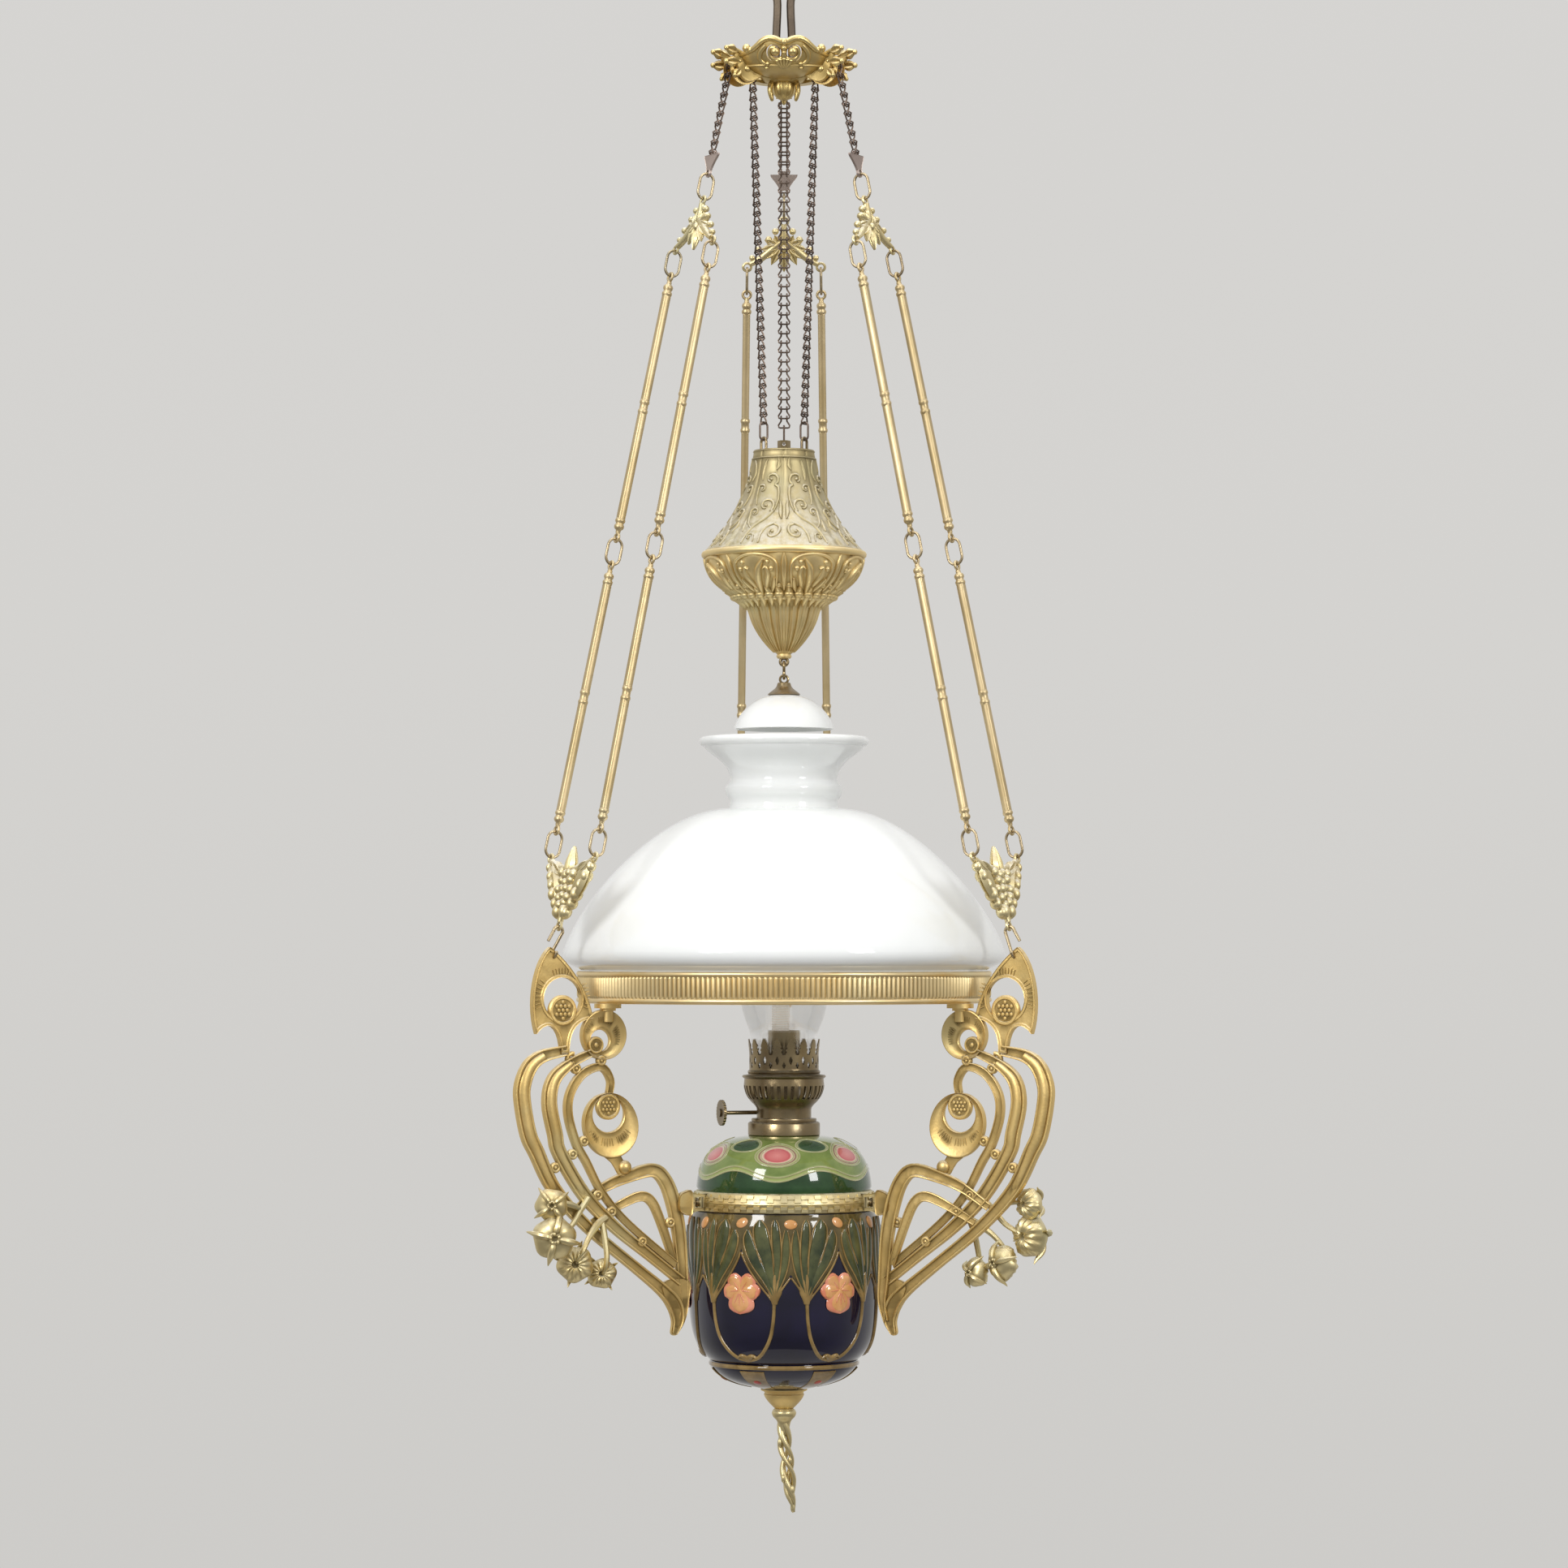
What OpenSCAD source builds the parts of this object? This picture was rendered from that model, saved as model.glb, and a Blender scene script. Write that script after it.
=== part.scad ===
// Rise-and-fall hanging oil lamp with a counterweight, an opal glass shade and a majolica font.
// The origin is the centre of the hanging eye, +Z is up and the rest pose is the lamp pulled up high.

/* [Hanging loop] */
// Radius of the bore in the hanging eye
eye_bore_r = 9; // [6:0.5:11]
// Metal round the bore of the hanging eye
eye_wall = 6.5; // [5:0.5:8]
// Thickness of the loop's iron bar, front to back
loop_t = 9; // [6:0.5:11]
// Width of each leg of the loop
leg_w = 8.5; // [6:0.5:9]
// Drop from the eye's centre to the pulley axles
loop_drop = 79; // [70:1:110]

/* [Canopy and pulleys] */
// Radius of the canopy's rim
canopy_r = 54; // [52:1:60]
// Wall of the canopy's dish
canopy_wall = 3; // [2:0.5:4]
// Height of the canopy's rim over the pulley axles
rim_h = 18; // [16:1:24]
// Distance of each pulley from the lamp's axis
pulley_reach = 39.5; // [38:0.5:42]
// Radius of the pulley at the chain's centre line
pulley_r = 10.4; // [9.5:0.1:11]
// Thickness of each cheek that carries a pulley
cheek_t = 2.4; // [1.5:0.1:3]
// Radius of the pulley axles
axle_r = 2; // [1.5:0.1:2.5]
// Length of the acorn below the canopy's hub
acorn_h = 14; // [10:1:20]

/* [Chain] */
// Nominal pitch of the ladder chain
chain_pitch = 7.6; // [7:0.1:9]
// Half the length of a chain rung
rung_half = 4.2; // [4:0.1:4.6]
// Diameter of the chain's wire
chain_wire_d = 1.2; // [1:0.05:1.3]

/* [Hangers] */
// Length of the clip from the chain's last pin to its eye
clip_h = 17.5; // [14:0.5:22]
// Length of the oval rings
ring_link_h = 23; // [20:0.5:26]
// Width of the oval rings
ring_link_w = 14.5; // [12:0.5:16]
// Diameter of the oval rings' wire
ring_wire_d = 2.2; // [1.8:0.1:2.4]
// Height of the upper spreader between its eyes
upper_spreader_h = 37; // [32:1:44]
// Half the spread of the rods at the upper spreader
spread_top = 30; // [26:1:34]
// Length of each hanger rod between its eyes
rod_h = 214; // [190:1:230]
// Radius of a hanger rod's shaft
rod_r = 2.9; // [2.5:0.1:3.6]
// Half the spread of the rods at the lower spreader
spread_bottom = 37; // [32:1:42]
// Height of the lower spreader between its eyes
lower_spreader_h = 54; // [46:1:60]

/* [Counterweight] */
// Largest radius of the counterweight's shell, under the belt
weight_r = 63; // [58:1:66]
// Height of the counterweight's upper shell
weight_upper_h = 80; // [70:1:95]
// Height of the counterweight's lower shell
weight_lower_h = 84; // [74:1:95]
// Radius of the counterweight's flat top
weight_top_r = 24; // [23:0.5:27]
// Wall of the counterweight's pressed shells
weight_wall = 1.5; // [1:0.1:2]
// Height of the iron ballast over the counterweight's belt
ballast_h = 60; // [20:1:64]

/* [Smoke bell] */
// Radius of the glass smoke bell
bell_r = 40; // [34:1:46]
// Height of the glass smoke bell
bell_h = 27; // [22:1:32]
// Wall of the glass smoke bell
bell_wall = 2.5; // [2:0.1:3]
// Gap between the smoke bell and the top of the shade
bell_gap = 6; // [4:0.5:20]

/* [Shade] */
// Largest radius of the glass shade
shade_r = 175; // [165:1:185]
// Height of the shade from its seat to its top rim
shade_h = 209; // [195:1:225]
// Radius of the shade's neck
shade_neck_r = 43; // [40:0.5:48]
// Radius of the shade's flared rim
shade_rim_r = 66; // [58:1:72]
// Wall of the glass shade
shade_wall = 2.5; // [2:0.1:4]

/* [Shade ring] */
// Outer radius of the shade ring's band
ring_r = 163; // [155:1:166]
// Height of the shade ring's band over the shade's seat
ring_band_h = 21; // [15:1:26]
// Sheet thickness of the shade ring
ring_wall = 1.2; // [1:0.1:2]
// Drop from the pulley axles to the shade's seat
lamp_drop = 738; // [700:1:780]

/* [Arms] */
// Thickness of the cast bars
arm_t = 5; // [4.5:0.5:7]
// Thickness of the arm's head plate round the hook's hole
head_t = 4.5; // [4:0.5:5.5]
// Drop from the shade's seat to the middle of the font ring
font_drop = 158; // [150:1:170]

/* [Font and vase] */
// Radius of the font's green dome
font_r = 69.5; // [66:0.5:72]
// Height of the font's dome over the font ring
font_dome_h = 43; // [38:1:50]
// Wall of the glazed pieces
glaze_wall = 3.5; // [2.5:0.5:5]
// Height of the font ring
font_ring_h = 16; // [14:1:20]
// Depth of the font's well below the font ring
well_h = 80; // [60:1:95]
// Largest radius of the vase
vase_r = 76; // [74:0.5:80]
// Height of the vase
vase_h = 140; // [130:1:155]

/* [Burner] */
// Outer radius of the collar on the font
collar_r = 28.5; // [27:0.5:31]
// Height of the collar
collar_h = 11; // [9:0.5:14]
// Height of the burner from its base to its deck
burner_h = 38; // [34:0.5:44]
// Radius of the burner's flange
burner_r = 33; // [31:0.5:36]
// Radius of the burner's neck
neck_r = 21.6; // [20.5:0.1:22.5]
// Outer radius of the chimney gallery
gallery_r = 27.5; // [26.5:0.1:28.5]
// Height of the chimney gallery with its prongs
gallery_h = 27; // [22:1:32]
// Outer radius of the wick tube
tube_r = 12.6; // [12:0.1:13]
// Height of the wick tube over the burner's deck
tube_top_h = 34; // [28:1:38]
// Length of wick that stands out of its tube
wick_out = 23; // [15:1:40]
// Radius of the wick knob
knob_r = 10.2; // [8:0.2:11]
// Distance from the lamp's axis line to the wick knob
knob_reach = 46; // [42:1:60]
// Height of the glass chimney
chimney_h = 252; // [230:1:256]
// Radius of the chimney's tube
chimney_tube_r = 19.5; // [17:0.5:24]
// Radius of the chimney's bulge
chimney_bulge_r = 34; // [30:0.5:38]
// Wall of the chimney's glass
chimney_wall = 1.6; // [1.2:0.1:2]

/* [Bottom finial] */
// Radius of the cup under the vase
cup_r = 18.5; // [16:0.5:22]
// Height of the cup under the vase
cup_h = 16; // [13:1:20]
// Length of the leaf-shaped pull below its knob
pull_h = 72; // [50:1:90]

/* [Hidden] */
$fn = 48;

// Directions of the three hangers
back = 90;
left = 210;
right = 330;
sides = [back, left, right];

// Clearances
run_fit = 0.05;
loose_fit = 0.15;
seat_gap = 0.3;

// Colours
gilt = [0.72, 0.58, 0.28];
old_brass = [0.45, 0.36, 0.2];
iron = [0.38, 0.34, 0.3];
dark_wire = [0.26, 0.2, 0.17];
opal = [0.95, 0.95, 0.93];
clear_glass = [0.85, 0.88, 0.88, 0.35];
glaze_green = [0.2, 0.33, 0.15];
glaze_blue = [0.06, 0.06, 0.2];
cotton = [0.85, 0.8, 0.68];

// Curves
function bez(p, n = 10) = [
    for (i = [0 : n]) let (t = i / n, u = 1 - t)
        u * u * u * p[0] + 3 * u * u * t * p[1] + 3 * u * t * t * p[2] + t * t * t * p[3]
];
function tail(c) = [for (i = [1 : len(c) - 1]) c[i]];
function spline_at(a, b, c, d, t) =
    b + 0.5 * t * (c - a + t * (2 * a - 5 * b + 4 * c - d + t * (3 * (b - c) + d - a)));
function spline(p, n = 4) = [
    for (i = [0 : len(p) - 2]) for (k = [0 : n - 1])
        spline_at(p[max(i - 1, 0)], p[i], p[i + 1], p[min(i + 2, len(p) - 1)], k / n),
    p[len(p) - 1]
];
function side_way(c, i) =
    let (a = c[max(i - 1, 0)], b = c[min(i + 1, len(c) - 1)], d = [b[0] - a[0], b[1] - a[1]])
        [-d[1], d[0]] / norm(d);
function flat(p) = [p[0], p[1]];
// A band along a curve of [x, y, width] points
function band(c) = concat(
    [for (i = [0 : len(c) - 1]) flat(c[i]) + side_way(c, i) * c[i][2] / 2],
    [for (i = [len(c) - 1 : -1 : 0]) flat(c[i]) - side_way(c, i) * c[i][2] / 2]
);
// The inner wall of a turned shell whose outline runs from top to bottom
function inner(c, t) = [for (i = [len(c) - 1 : -1 : 0]) c[i] - side_way(c, i) * t];

// Heights
pulley_z = -loop_drop;
seat_z = pulley_z - lamp_drop;
shade_top_z = seat_z + shade_h;
bell_z = shade_top_z + bell_gap;
font_z = seat_z - font_drop;

// Places a piece made along +X at a hanger's direction
module at(angle) { rotate([0, 0, angle]) children(); }

// A round bar from one point to another
module bar(a, b, r) {
    d = b - a;
    translate(a)
        rotate([0, acos(d[2] / norm(d)), atan2(d[1], d[0])])
            cylinder(h = norm(d), r = r);
}

// A flat plate in the X-Z plane, centred on Y
module plate(t) { rotate([90, 0, 0]) linear_extrude(t, center = true) children(); }

// A round peg along Y, centred on Y
module peg(r, t) { rotate([90, 0, 0]) cylinder(h = t, r = r, center = true); }

// Hanging loop
leg_gap_top = 1;
leg_gap_bottom = 4;
hub_r = 15;
hub_top = 12;
leg_floor = 3;
leg_end_z = pulley_z + leg_floor;
module hanging_loop() color(iron) {
    leg_start_z = -eye_bore_r - eye_wall / 2;
    difference() {
        union() {
            peg(eye_bore_r + eye_wall, loop_t);
            for (s = [-1, 1]) plate(loop_t) polygon([
                [s * leg_gap_top / 2, leg_start_z],
                [s * (leg_gap_top / 2 + leg_w), leg_start_z],
                [s * (leg_gap_bottom / 2 + leg_w), leg_end_z],
                [s * leg_gap_bottom / 2, leg_end_z]
            ]);
        }
        peg(eye_bore_r, loop_t * 2);
    }
}

// Chain sizes
wire_r = chain_wire_d / 2;
link_eye_r = chain_wire_d + loose_fit;
link_eye_out = link_eye_r + wire_r;
link_eye_y = rung_half - chain_wire_d - 0.8;
chain_half_w = rung_half + wire_r;

// Pulley sizes
drum_r = pulley_r - link_eye_out - 0.25;
flange_r = pulley_r + 2.2;
drum_half = chain_half_w + 0.35;
flange_t = 1.2;
pulley_half = drum_half + flange_t;
cheek_in = pulley_half + 0.4;
cheek_out = cheek_in + cheek_t;
rivet_r = axle_r + 1.6;
rivet_h = 1.4;

// Canopy
hub_floor = -8;
stud_r = 3;
module canopy() color(gilt) translate([0, 0, pulley_z]) {
    dish = bez([[canopy_r, rim_h], [canopy_r - 4, 2], [hub_r + 16, -4], [hub_r - 3, hub_floor + 3]]);
    slot_in = pulley_reach - flange_r - 1;
    pierce_r = 4;
    pierce_h = rim_h - 7;
    difference() {
        union() {
            difference() {
                union() {
                    rotate_extrude() polygon(concat(dish, inner(dish, -canopy_wall)));
                    translate([0, 0, hub_floor]) cylinder(h = hub_top - hub_floor, r = hub_r);
                }
                for (a = sides) at(a) translate([slot_in, -cheek_in, -loop_drop])
                    cube([canopy_r * 2, 2 * cheek_in, 2 * loop_drop]);
            }
            for (a = sides) at(a) for (s = [-1, 1])
                translate([0, s * (cheek_in + cheek_out) / 2, 0]) {
                    plate(cheek_t) polygon([
                        [hub_r - 4, hub_floor + 1], [pulley_reach - 4, -8], [pulley_reach + 4, -7],
                        [canopy_r - 4, 7], [canopy_r + 1, rim_h - 2], [canopy_r - 6, rim_h],
                        [pulley_reach, 14], [hub_r - 4, hub_top - 2]
                    ]);
                    translate([canopy_r - 2, s * 1.6, rim_h]) sphere(3);
                }
        }
        for (a = sides) at(a) {
            translate([pulley_reach, 0, 0]) peg(axle_r + run_fit, 4 * cheek_out);
            for (s = [-1, 1]) translate([pulley_reach, s * (cheek_out + rivet_h), 0])
                peg(rivet_r + seat_gap, 2 * rivet_h);
            for (s = [-1, 1]) rotate([0, 0, 60 + s * 9]) translate([hub_r + 14, 0, pierce_h])
                rotate([0, 90, 0]) cylinder(h = canopy_r, r = pierce_r);
            rotate([0, 0, 60]) translate([hub_r + 12, 0, 0]) cylinder(h = 2 * rim_h, r = 5, center = true);
        }
        translate([0, 0, leg_floor + hub_top]) cube([
            2 * leg_w + leg_gap_bottom + 2 * loose_fit, loop_t + 2 * loose_fit, 2 * hub_top
        ], center = true);
        translate([0, 0, hub_floor - 1]) cylinder(h = 1 - hub_floor, r = stud_r + run_fit);
    }
}

module acorn_finial() color(gilt) translate([0, 0, pulley_z + hub_floor]) {
    cap_r = 11;
    cap_h = 2.5;
    nut_r = 8.5;
    stud_h = -hub_floor - 1;
    rotate_extrude() polygon(concat(
        [[0, stud_h], [stud_r, stud_h], [stud_r, 0], [cap_r, 0], [cap_r, -cap_h]],
        bez([[nut_r, -cap_h], [nut_r + 1, -cap_h - acorn_h * 0.5], [5, -acorn_h], [0, -cap_h - acorn_h]])
    ));
}

// Pulleys and their axles
module pulley(angle) color(gilt) at(angle) translate([pulley_reach, 0, pulley_z])
    difference() {
        union() {
            peg(drum_r, 2 * pulley_half);
            for (s = [-1, 1]) translate([0, s * (drum_half + flange_t / 2), 0]) peg(flange_r, flange_t);
        }
        peg(axle_r + run_fit, 3 * pulley_half);
    }

module pulley_axles() color(old_brass)
    for (a = sides) at(a) translate([pulley_reach, 0, pulley_z]) {
        peg(axle_r, 2 * cheek_out);
        for (s = [-1, 1]) translate([0, s * (cheek_out + rivet_h / 2), 0]) peg(rivet_r, rivet_h);
    }

// Counterweight heights, from the smoke bell upwards
cap_h = 10;
hook_drop = 14;
tie_eye_r = 4.2;
tie_eye_wire = 1.3;
bell_top_z = bell_z + bell_h;
bell_eye_z = bell_top_z + cap_h + 2.5;
tie_eye_z = bell_eye_z + hook_drop;
weight_bottom_z = tie_eye_z + tie_eye_r;
belt_z = weight_bottom_z + weight_lower_h;
weight_top_z = belt_z + weight_upper_h;

// Small oval rings and staples that take the chains on the counterweight
small_ring_h = 16;
small_ring_w = 8.4;
small_wire_r = 0.8;
staple_h = 9.5;
staple_r = 1.1;
staple_half = 4;
chain_foot_r = 18.6;
staple_z = weight_top_z + staple_h;
small_ring_low_z = staple_z - staple_r - small_wire_r - loose_fit;
small_ring_high_z = small_ring_low_z + small_ring_h - 2 * small_wire_r;
chain_foot_z = small_ring_high_z - small_wire_r - wire_r - loose_fit;

// Arm and hanger ends, in the plane of a hanger
nut_flange_t = 3.5;
pin_r = 2.5;
arm_pin_inset = 5;
arm_pin_reach = ring_r - arm_pin_inset;
lug_wall = 3;
lug_reach = 12;
lug_face_r = font_r + 2.5 + lug_reach;
// The arm is drawn in millimetres for a reach of 74 and a rise of 156, then fitted to its two seats
drawn_foot = 84;
drawn_reach = 74;
drawn_rise = 156;
arm_reach = arm_pin_reach - lug_face_r;
ring_sheet = 2;
arm_rise = font_drop - ring_sheet;
function fit_x(x) = lug_face_r + (x - drawn_foot) * arm_reach / drawn_reach;
function fit_z(z) = z * arm_rise / drawn_rise;
// Widths and radii grow with the arm, so that its pieces stay joined
swell = max(arm_reach / drawn_reach, arm_rise / drawn_rise);
function fit(c) = [for (p = c) len(p) > 2
    ? [fit_x(p[0]), fit_z(p[1]), p[2] * swell]
    : [fit_x(p[0]), fit_z(p[1])]];
arm_hole_r = 3;
arm_hole = [fit_x(206), fit_z(191)];
arm_hole_z = font_z + arm_hole[1];

// The outer chain and the hanger hang in one straight line from the pulley to the arm's hole
line_r = arm_hole[0] - pulley_reach;
line_drop = pulley_z - arm_hole_z;
line_h = sqrt(line_r * line_r + line_drop * line_drop - pulley_r * pulley_r);
lean = atan(line_r / line_drop) - atan(pulley_r / line_h);
// The inner chain leans the other way, towards the counterweight
foot_r = pulley_reach - chain_foot_r;
foot_drop = pulley_z - chain_foot_z;
inner_h = sqrt(foot_r * foot_r + foot_drop * foot_drop - pulley_r * pulley_r);
inner_lean = atan(foot_r / foot_drop) - atan(pulley_r / inner_h);

// How the oval rings seat in the eyes of the flat pieces
eye_hole_r = 2.4;
eye_out_r = 4.2;
piece_t = 3.5;
ring_wire_r = ring_wire_d / 2;
ring_bend_r = ring_link_w / 2 - ring_wire_r;
function bow(r, half) = r - sqrt(r * r - half * half);
ring_seat = eye_hole_r - ring_wire_r - bow(ring_bend_r, piece_t / 2) - loose_fit;
ring_step = ring_link_h - ring_wire_d + 2 * ring_seat;
splay_w = spread_bottom - spread_top;
splay_h = 3 * ring_step + 2 * rod_h;
splay = asin(splay_w / splay_h);
hook_wire_r = 1.25;
hook_bend_r = head_t / 2 + hook_wire_r + 0.5;
hook_seat = arm_hole_r - hook_wire_r - bow(hook_bend_r, head_t / 2) - loose_fit;
hook_top_r = piece_t / 2 + hook_wire_r + 0.9;
hook_top_seat = eye_hole_r - hook_wire_r - bow(hook_top_r, piece_t / 2) - loose_fit;
// Places down the hanger's line, from the pulley
hook_gap = 26;
lower_end_s = line_h - hook_gap;
lower_top_s = lower_end_s - lower_spreader_h;
upper_end_s = lower_top_s - splay_h * cos(splay);
upper_top_s = upper_end_s - upper_spreader_h;
clip_eye_s = upper_top_s - ring_step;
clip_pin_s = clip_eye_s - clip_h;

// Puts a piece on the hanger's line: Z up the line, Y sideways, X outwards
module on_line(angle, s) {
    at(angle) translate([
        pulley_reach + pulley_r * cos(lean) + s * sin(lean), 0,
        pulley_z + pulley_r * sin(lean) - s * cos(lean)
    ]) rotate([0, -lean, 0]) children();
}

// Chain links: a rung, two legs and two flat eyes round the next rung, up +Z
module chain_link(p) {
    rise = p - link_eye_r;
    inset = rung_half - link_eye_y;
    peg(wire_r, 2 * chain_half_w);
    for (s = [-1, 1]) {
        translate([0, s * rung_half, 0]) rotate([s * atan(inset / rise), 0, 0])
            cylinder(h = sqrt(inset * inset + rise * rise), r = wire_r * 0.92);
        translate([0, s * link_eye_y, p]) difference() {
            peg(link_eye_out, chain_wire_d);
            peg(link_eye_r - wire_r, 2 * chain_wire_d);
        }
    }
}

// A straight run of links down -Z over a length
module chain_run(length) {
    count = round(length / chain_pitch);
    p = length / count;
    for (i = [0 : count - 1]) translate([0, 0, -i * p]) rotate([0, 180, 0]) chain_link(p);
}

wrap_links = 4;
module chain_outer(angle) color(dark_wire) {
    turn = (180 - inner_lean - lean) / wrap_links;
    chord = 2 * pulley_r * sin(turn / 2);
    at(angle) translate([pulley_reach, 0, pulley_z])
        for (i = [0 : wrap_links - 1])
            rotate([0, inner_lean - 180 + i * turn, 0]) translate([pulley_r, 0, 0])
                rotate([0, 180 + turn / 2, 0]) chain_link(chord);
    on_line(angle, 0) chain_run(clip_pin_s);
}

module chain_inner(angle) color(dark_wire) {
    count = round(inner_h / chain_pitch);
    p = inner_h / count;
    at(angle) translate([chain_foot_r, 0, chain_foot_z]) rotate([0, inner_lean, 0])
        for (i = [0 : count - 1]) translate([0, 0, i * p]) chain_link(p);
}

// An oval ring in the X-Z plane with its top wire at the origin
module oval_ring(height, width, r) {
    bend = width / 2 - r;
    straight = height - width;
    for (s = [0, 1]) translate([0, 0, -bend - s * straight]) rotate([90, 180 * s, 0])
        rotate_extrude(angle = 180) translate([bend, 0]) circle(r);
    for (s = [-1, 1]) translate([s * bend, 0, -bend - straight]) cylinder(h = straight, r = r);
}

// A flat eye in the Y-Z plane
module flat_eye() { rotate([0, 90, 0]) cylinder(h = piece_t, r = eye_out_r, center = true); }
module eye_hole() { rotate([0, 90, 0]) cylinder(h = 3 * piece_t, r = eye_hole_r, center = true); }
// A flat piece in the Y-Z plane
module sheet(t) { rotate([90, 0, 90]) linear_extrude(t, center = true) children(); }
// A flat strip between two points in the Y-Z plane
module strip(a, b, w) { polygon(band([[a[0], a[1], w], [b[0], b[1], w]])); }

module chain_clips() color([0.55, 0.48, 0.44])
    for (a = sides) on_line(a, clip_pin_s) {
        clip_half = 11;
        clip_t = 1.8;
        shoulder = link_eye_out + 0.5;
        tongue = link_eye_y - wire_r - 0.3;
        difference() {
            union() {
                sheet(clip_t) polygon(concat(
                    [[-tongue, 0.3], [-tongue, -shoulder], [-clip_half, -shoulder]],
                    bez([[-clip_half, -shoulder - 0.5], [-6, -clip_h * 0.5],
                        [-4, -clip_h * 0.7], [-3, -clip_h]], 6),
                    bez([[3, -clip_h], [4, -clip_h * 0.7],
                        [6, -clip_h * 0.5], [clip_half, -shoulder - 0.5]], 6),
                    [[clip_half, -shoulder], [tongue, -shoulder], [tongue, 0.3]]
                ));
                translate([0, 0, -clip_h]) rotate([0, 90, 0])
                    cylinder(h = clip_t, r = eye_out_r - 0.4, center = true);
                peg(wire_r, 2 * (link_eye_y + wire_r + 0.4));
            }
            translate([0, 0, -clip_h]) eye_hole();
        }
    }

// Rods hang from the upper spreader's ends: Z up the rod's line, for each side
module on_rods(angle, t) {
    on_line(angle, upper_end_s) for (s = [-1, 1])
        translate([0, s * spread_top, 0]) rotate([s * splay, 0, 0]) translate([0, 0, -t]) children();
}

module hanger_rings(angle) color([0.55, 0.46, 0.28]) {
    on_line(angle, clip_eye_s + ring_seat) oval_ring(ring_link_h, ring_link_w, ring_wire_r);
    for (i = [0 : 2]) on_rods(angle, ring_seat + i * (ring_step + rod_h))
        oval_ring(ring_link_h, ring_link_w, ring_wire_r);
}

module upper_spreader(angle) color(gilt) on_line(angle, upper_top_s) {
    boss_r = 9;
    boss_z = -upper_spreader_h * 0.62;
    petal_r = 4;
    petals = 8;
    difference() {
        union() {
            flat_eye();
            for (s = [-1, 1]) translate([0, s * spread_top, -upper_spreader_h]) flat_eye();
            sheet(piece_t - 0.4) strip([0, -3], [0, boss_z], 6);
            for (s = [-1, 1]) {
                sheet(piece_t - 0.6)
                    strip([s * 4, boss_z + 6], [s * (spread_top - 2.4), -upper_spreader_h + 2.6], 4.5);
                sheet(piece_t - 0.8)
                    strip([s * 4, boss_z - 5], [s * (spread_top - 3), -upper_spreader_h - 1.6], 3.6);
            }
            translate([0, 0, boss_z]) {
                rotate([0, 90, 0]) rotate_extrude() polygon(concat(
                    bez([[0, 4.6], [2.4, 4.6], [4.4, 3.6], [4.8, piece_t / 2]], 5),
                    [[boss_r, piece_t / 2], [boss_r, -piece_t / 2], [0, -piece_t / 2]]
                ));
                for (i = [0 : petals - 1]) rotate([(i + 0.5) * 360 / petals, 0, 0])
                    translate([0, 0, boss_r + 2.4]) rotate([0, 90, 0]) difference() {
                        cylinder(h = piece_t - 1.2, r = petal_r, center = true);
                        cylinder(h = 3 * piece_t, r = petal_r * 0.4, center = true);
                    }
            }
        }
        eye_hole();
        for (s = [-1, 1]) translate([0, s * spread_top, -upper_spreader_h]) eye_hole();
    }
}

module hanger_rod() {
    neck = 1.9;
    knuckle = rod_r + 1.1;
    end = eye_out_r - 1;
    middle = rod_h / 2;
    difference() {
        union() {
            for (z = [0, rod_h]) translate([0, 0, -z]) flat_eye();
            rotate_extrude() polygon(concat(
                [[0, -end], [neck, -end], [neck, -end - 3], [knuckle, -end - 4], [knuckle, -end - 6]],
                [[rod_r + 0.3, -end - 7], [knuckle, -end - 9], [knuckle, -end - 11], [rod_r, -end - 13]],
                [[rod_r, 5 - middle], [knuckle, 3 - middle], [knuckle, 1 - middle], [rod_r + 0.4, -middle]],
                [[knuckle, -middle - 1], [knuckle, -middle - 3], [rod_r, -middle - 5]],
                [[rod_r, end + 13 - rod_h], [knuckle, end + 11 - rod_h], [knuckle, end + 9 - rod_h]],
                [[rod_r + 0.3, end + 7 - rod_h], [knuckle, end + 6 - rod_h], [knuckle, end + 4 - rod_h]],
                [[neck, end + 3 - rod_h], [neck, end - rod_h], [0, end - rod_h]]
            ));
        }
        for (z = [0, rod_h]) translate([0, 0, -z]) eye_hole();
    }
}
module hanger_rods(angle) color(gilt)
    for (i = [0, 1]) on_rods(angle, ring_step + i * (ring_step + rod_h)) hanger_rod();

module lower_spreader(angle) color(gilt) on_line(angle, lower_top_s) {
    berry_r = 4.2;
    rows = 4;
    difference() {
        union() {
            for (s = [-1, 1]) translate([0, s * spread_bottom, 0]) flat_eye();
            translate([0, 0, -lower_spreader_h]) flat_eye();
            sheet(piece_t - 0.4) {
                for (s = [-1, 1]) strip([s * (spread_bottom - 1.6), -3], [s * 2, -lower_spreader_h + 4], 7);
                strip([-spread_bottom + 3, -1.5], [0, -9], 6);
                strip([spread_bottom - 3, -1.5], [0, -9], 6);
                strip([0, -8], [0, -lower_spreader_h + 3], 8);
            }
            for (row = [0 : rows - 1]) for (k = [0 : rows - 1 - row])
                translate([0, (k - (rows - 1 - row) / 2) * berry_r * 1.8, -14 - row * berry_r * 1.7])
                    sphere(berry_r);
        }
        for (s = [-1, 1]) translate([0, s * spread_bottom, 0]) eye_hole();
        translate([0, 0, -lower_spreader_h]) eye_hole();
    }
}

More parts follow.
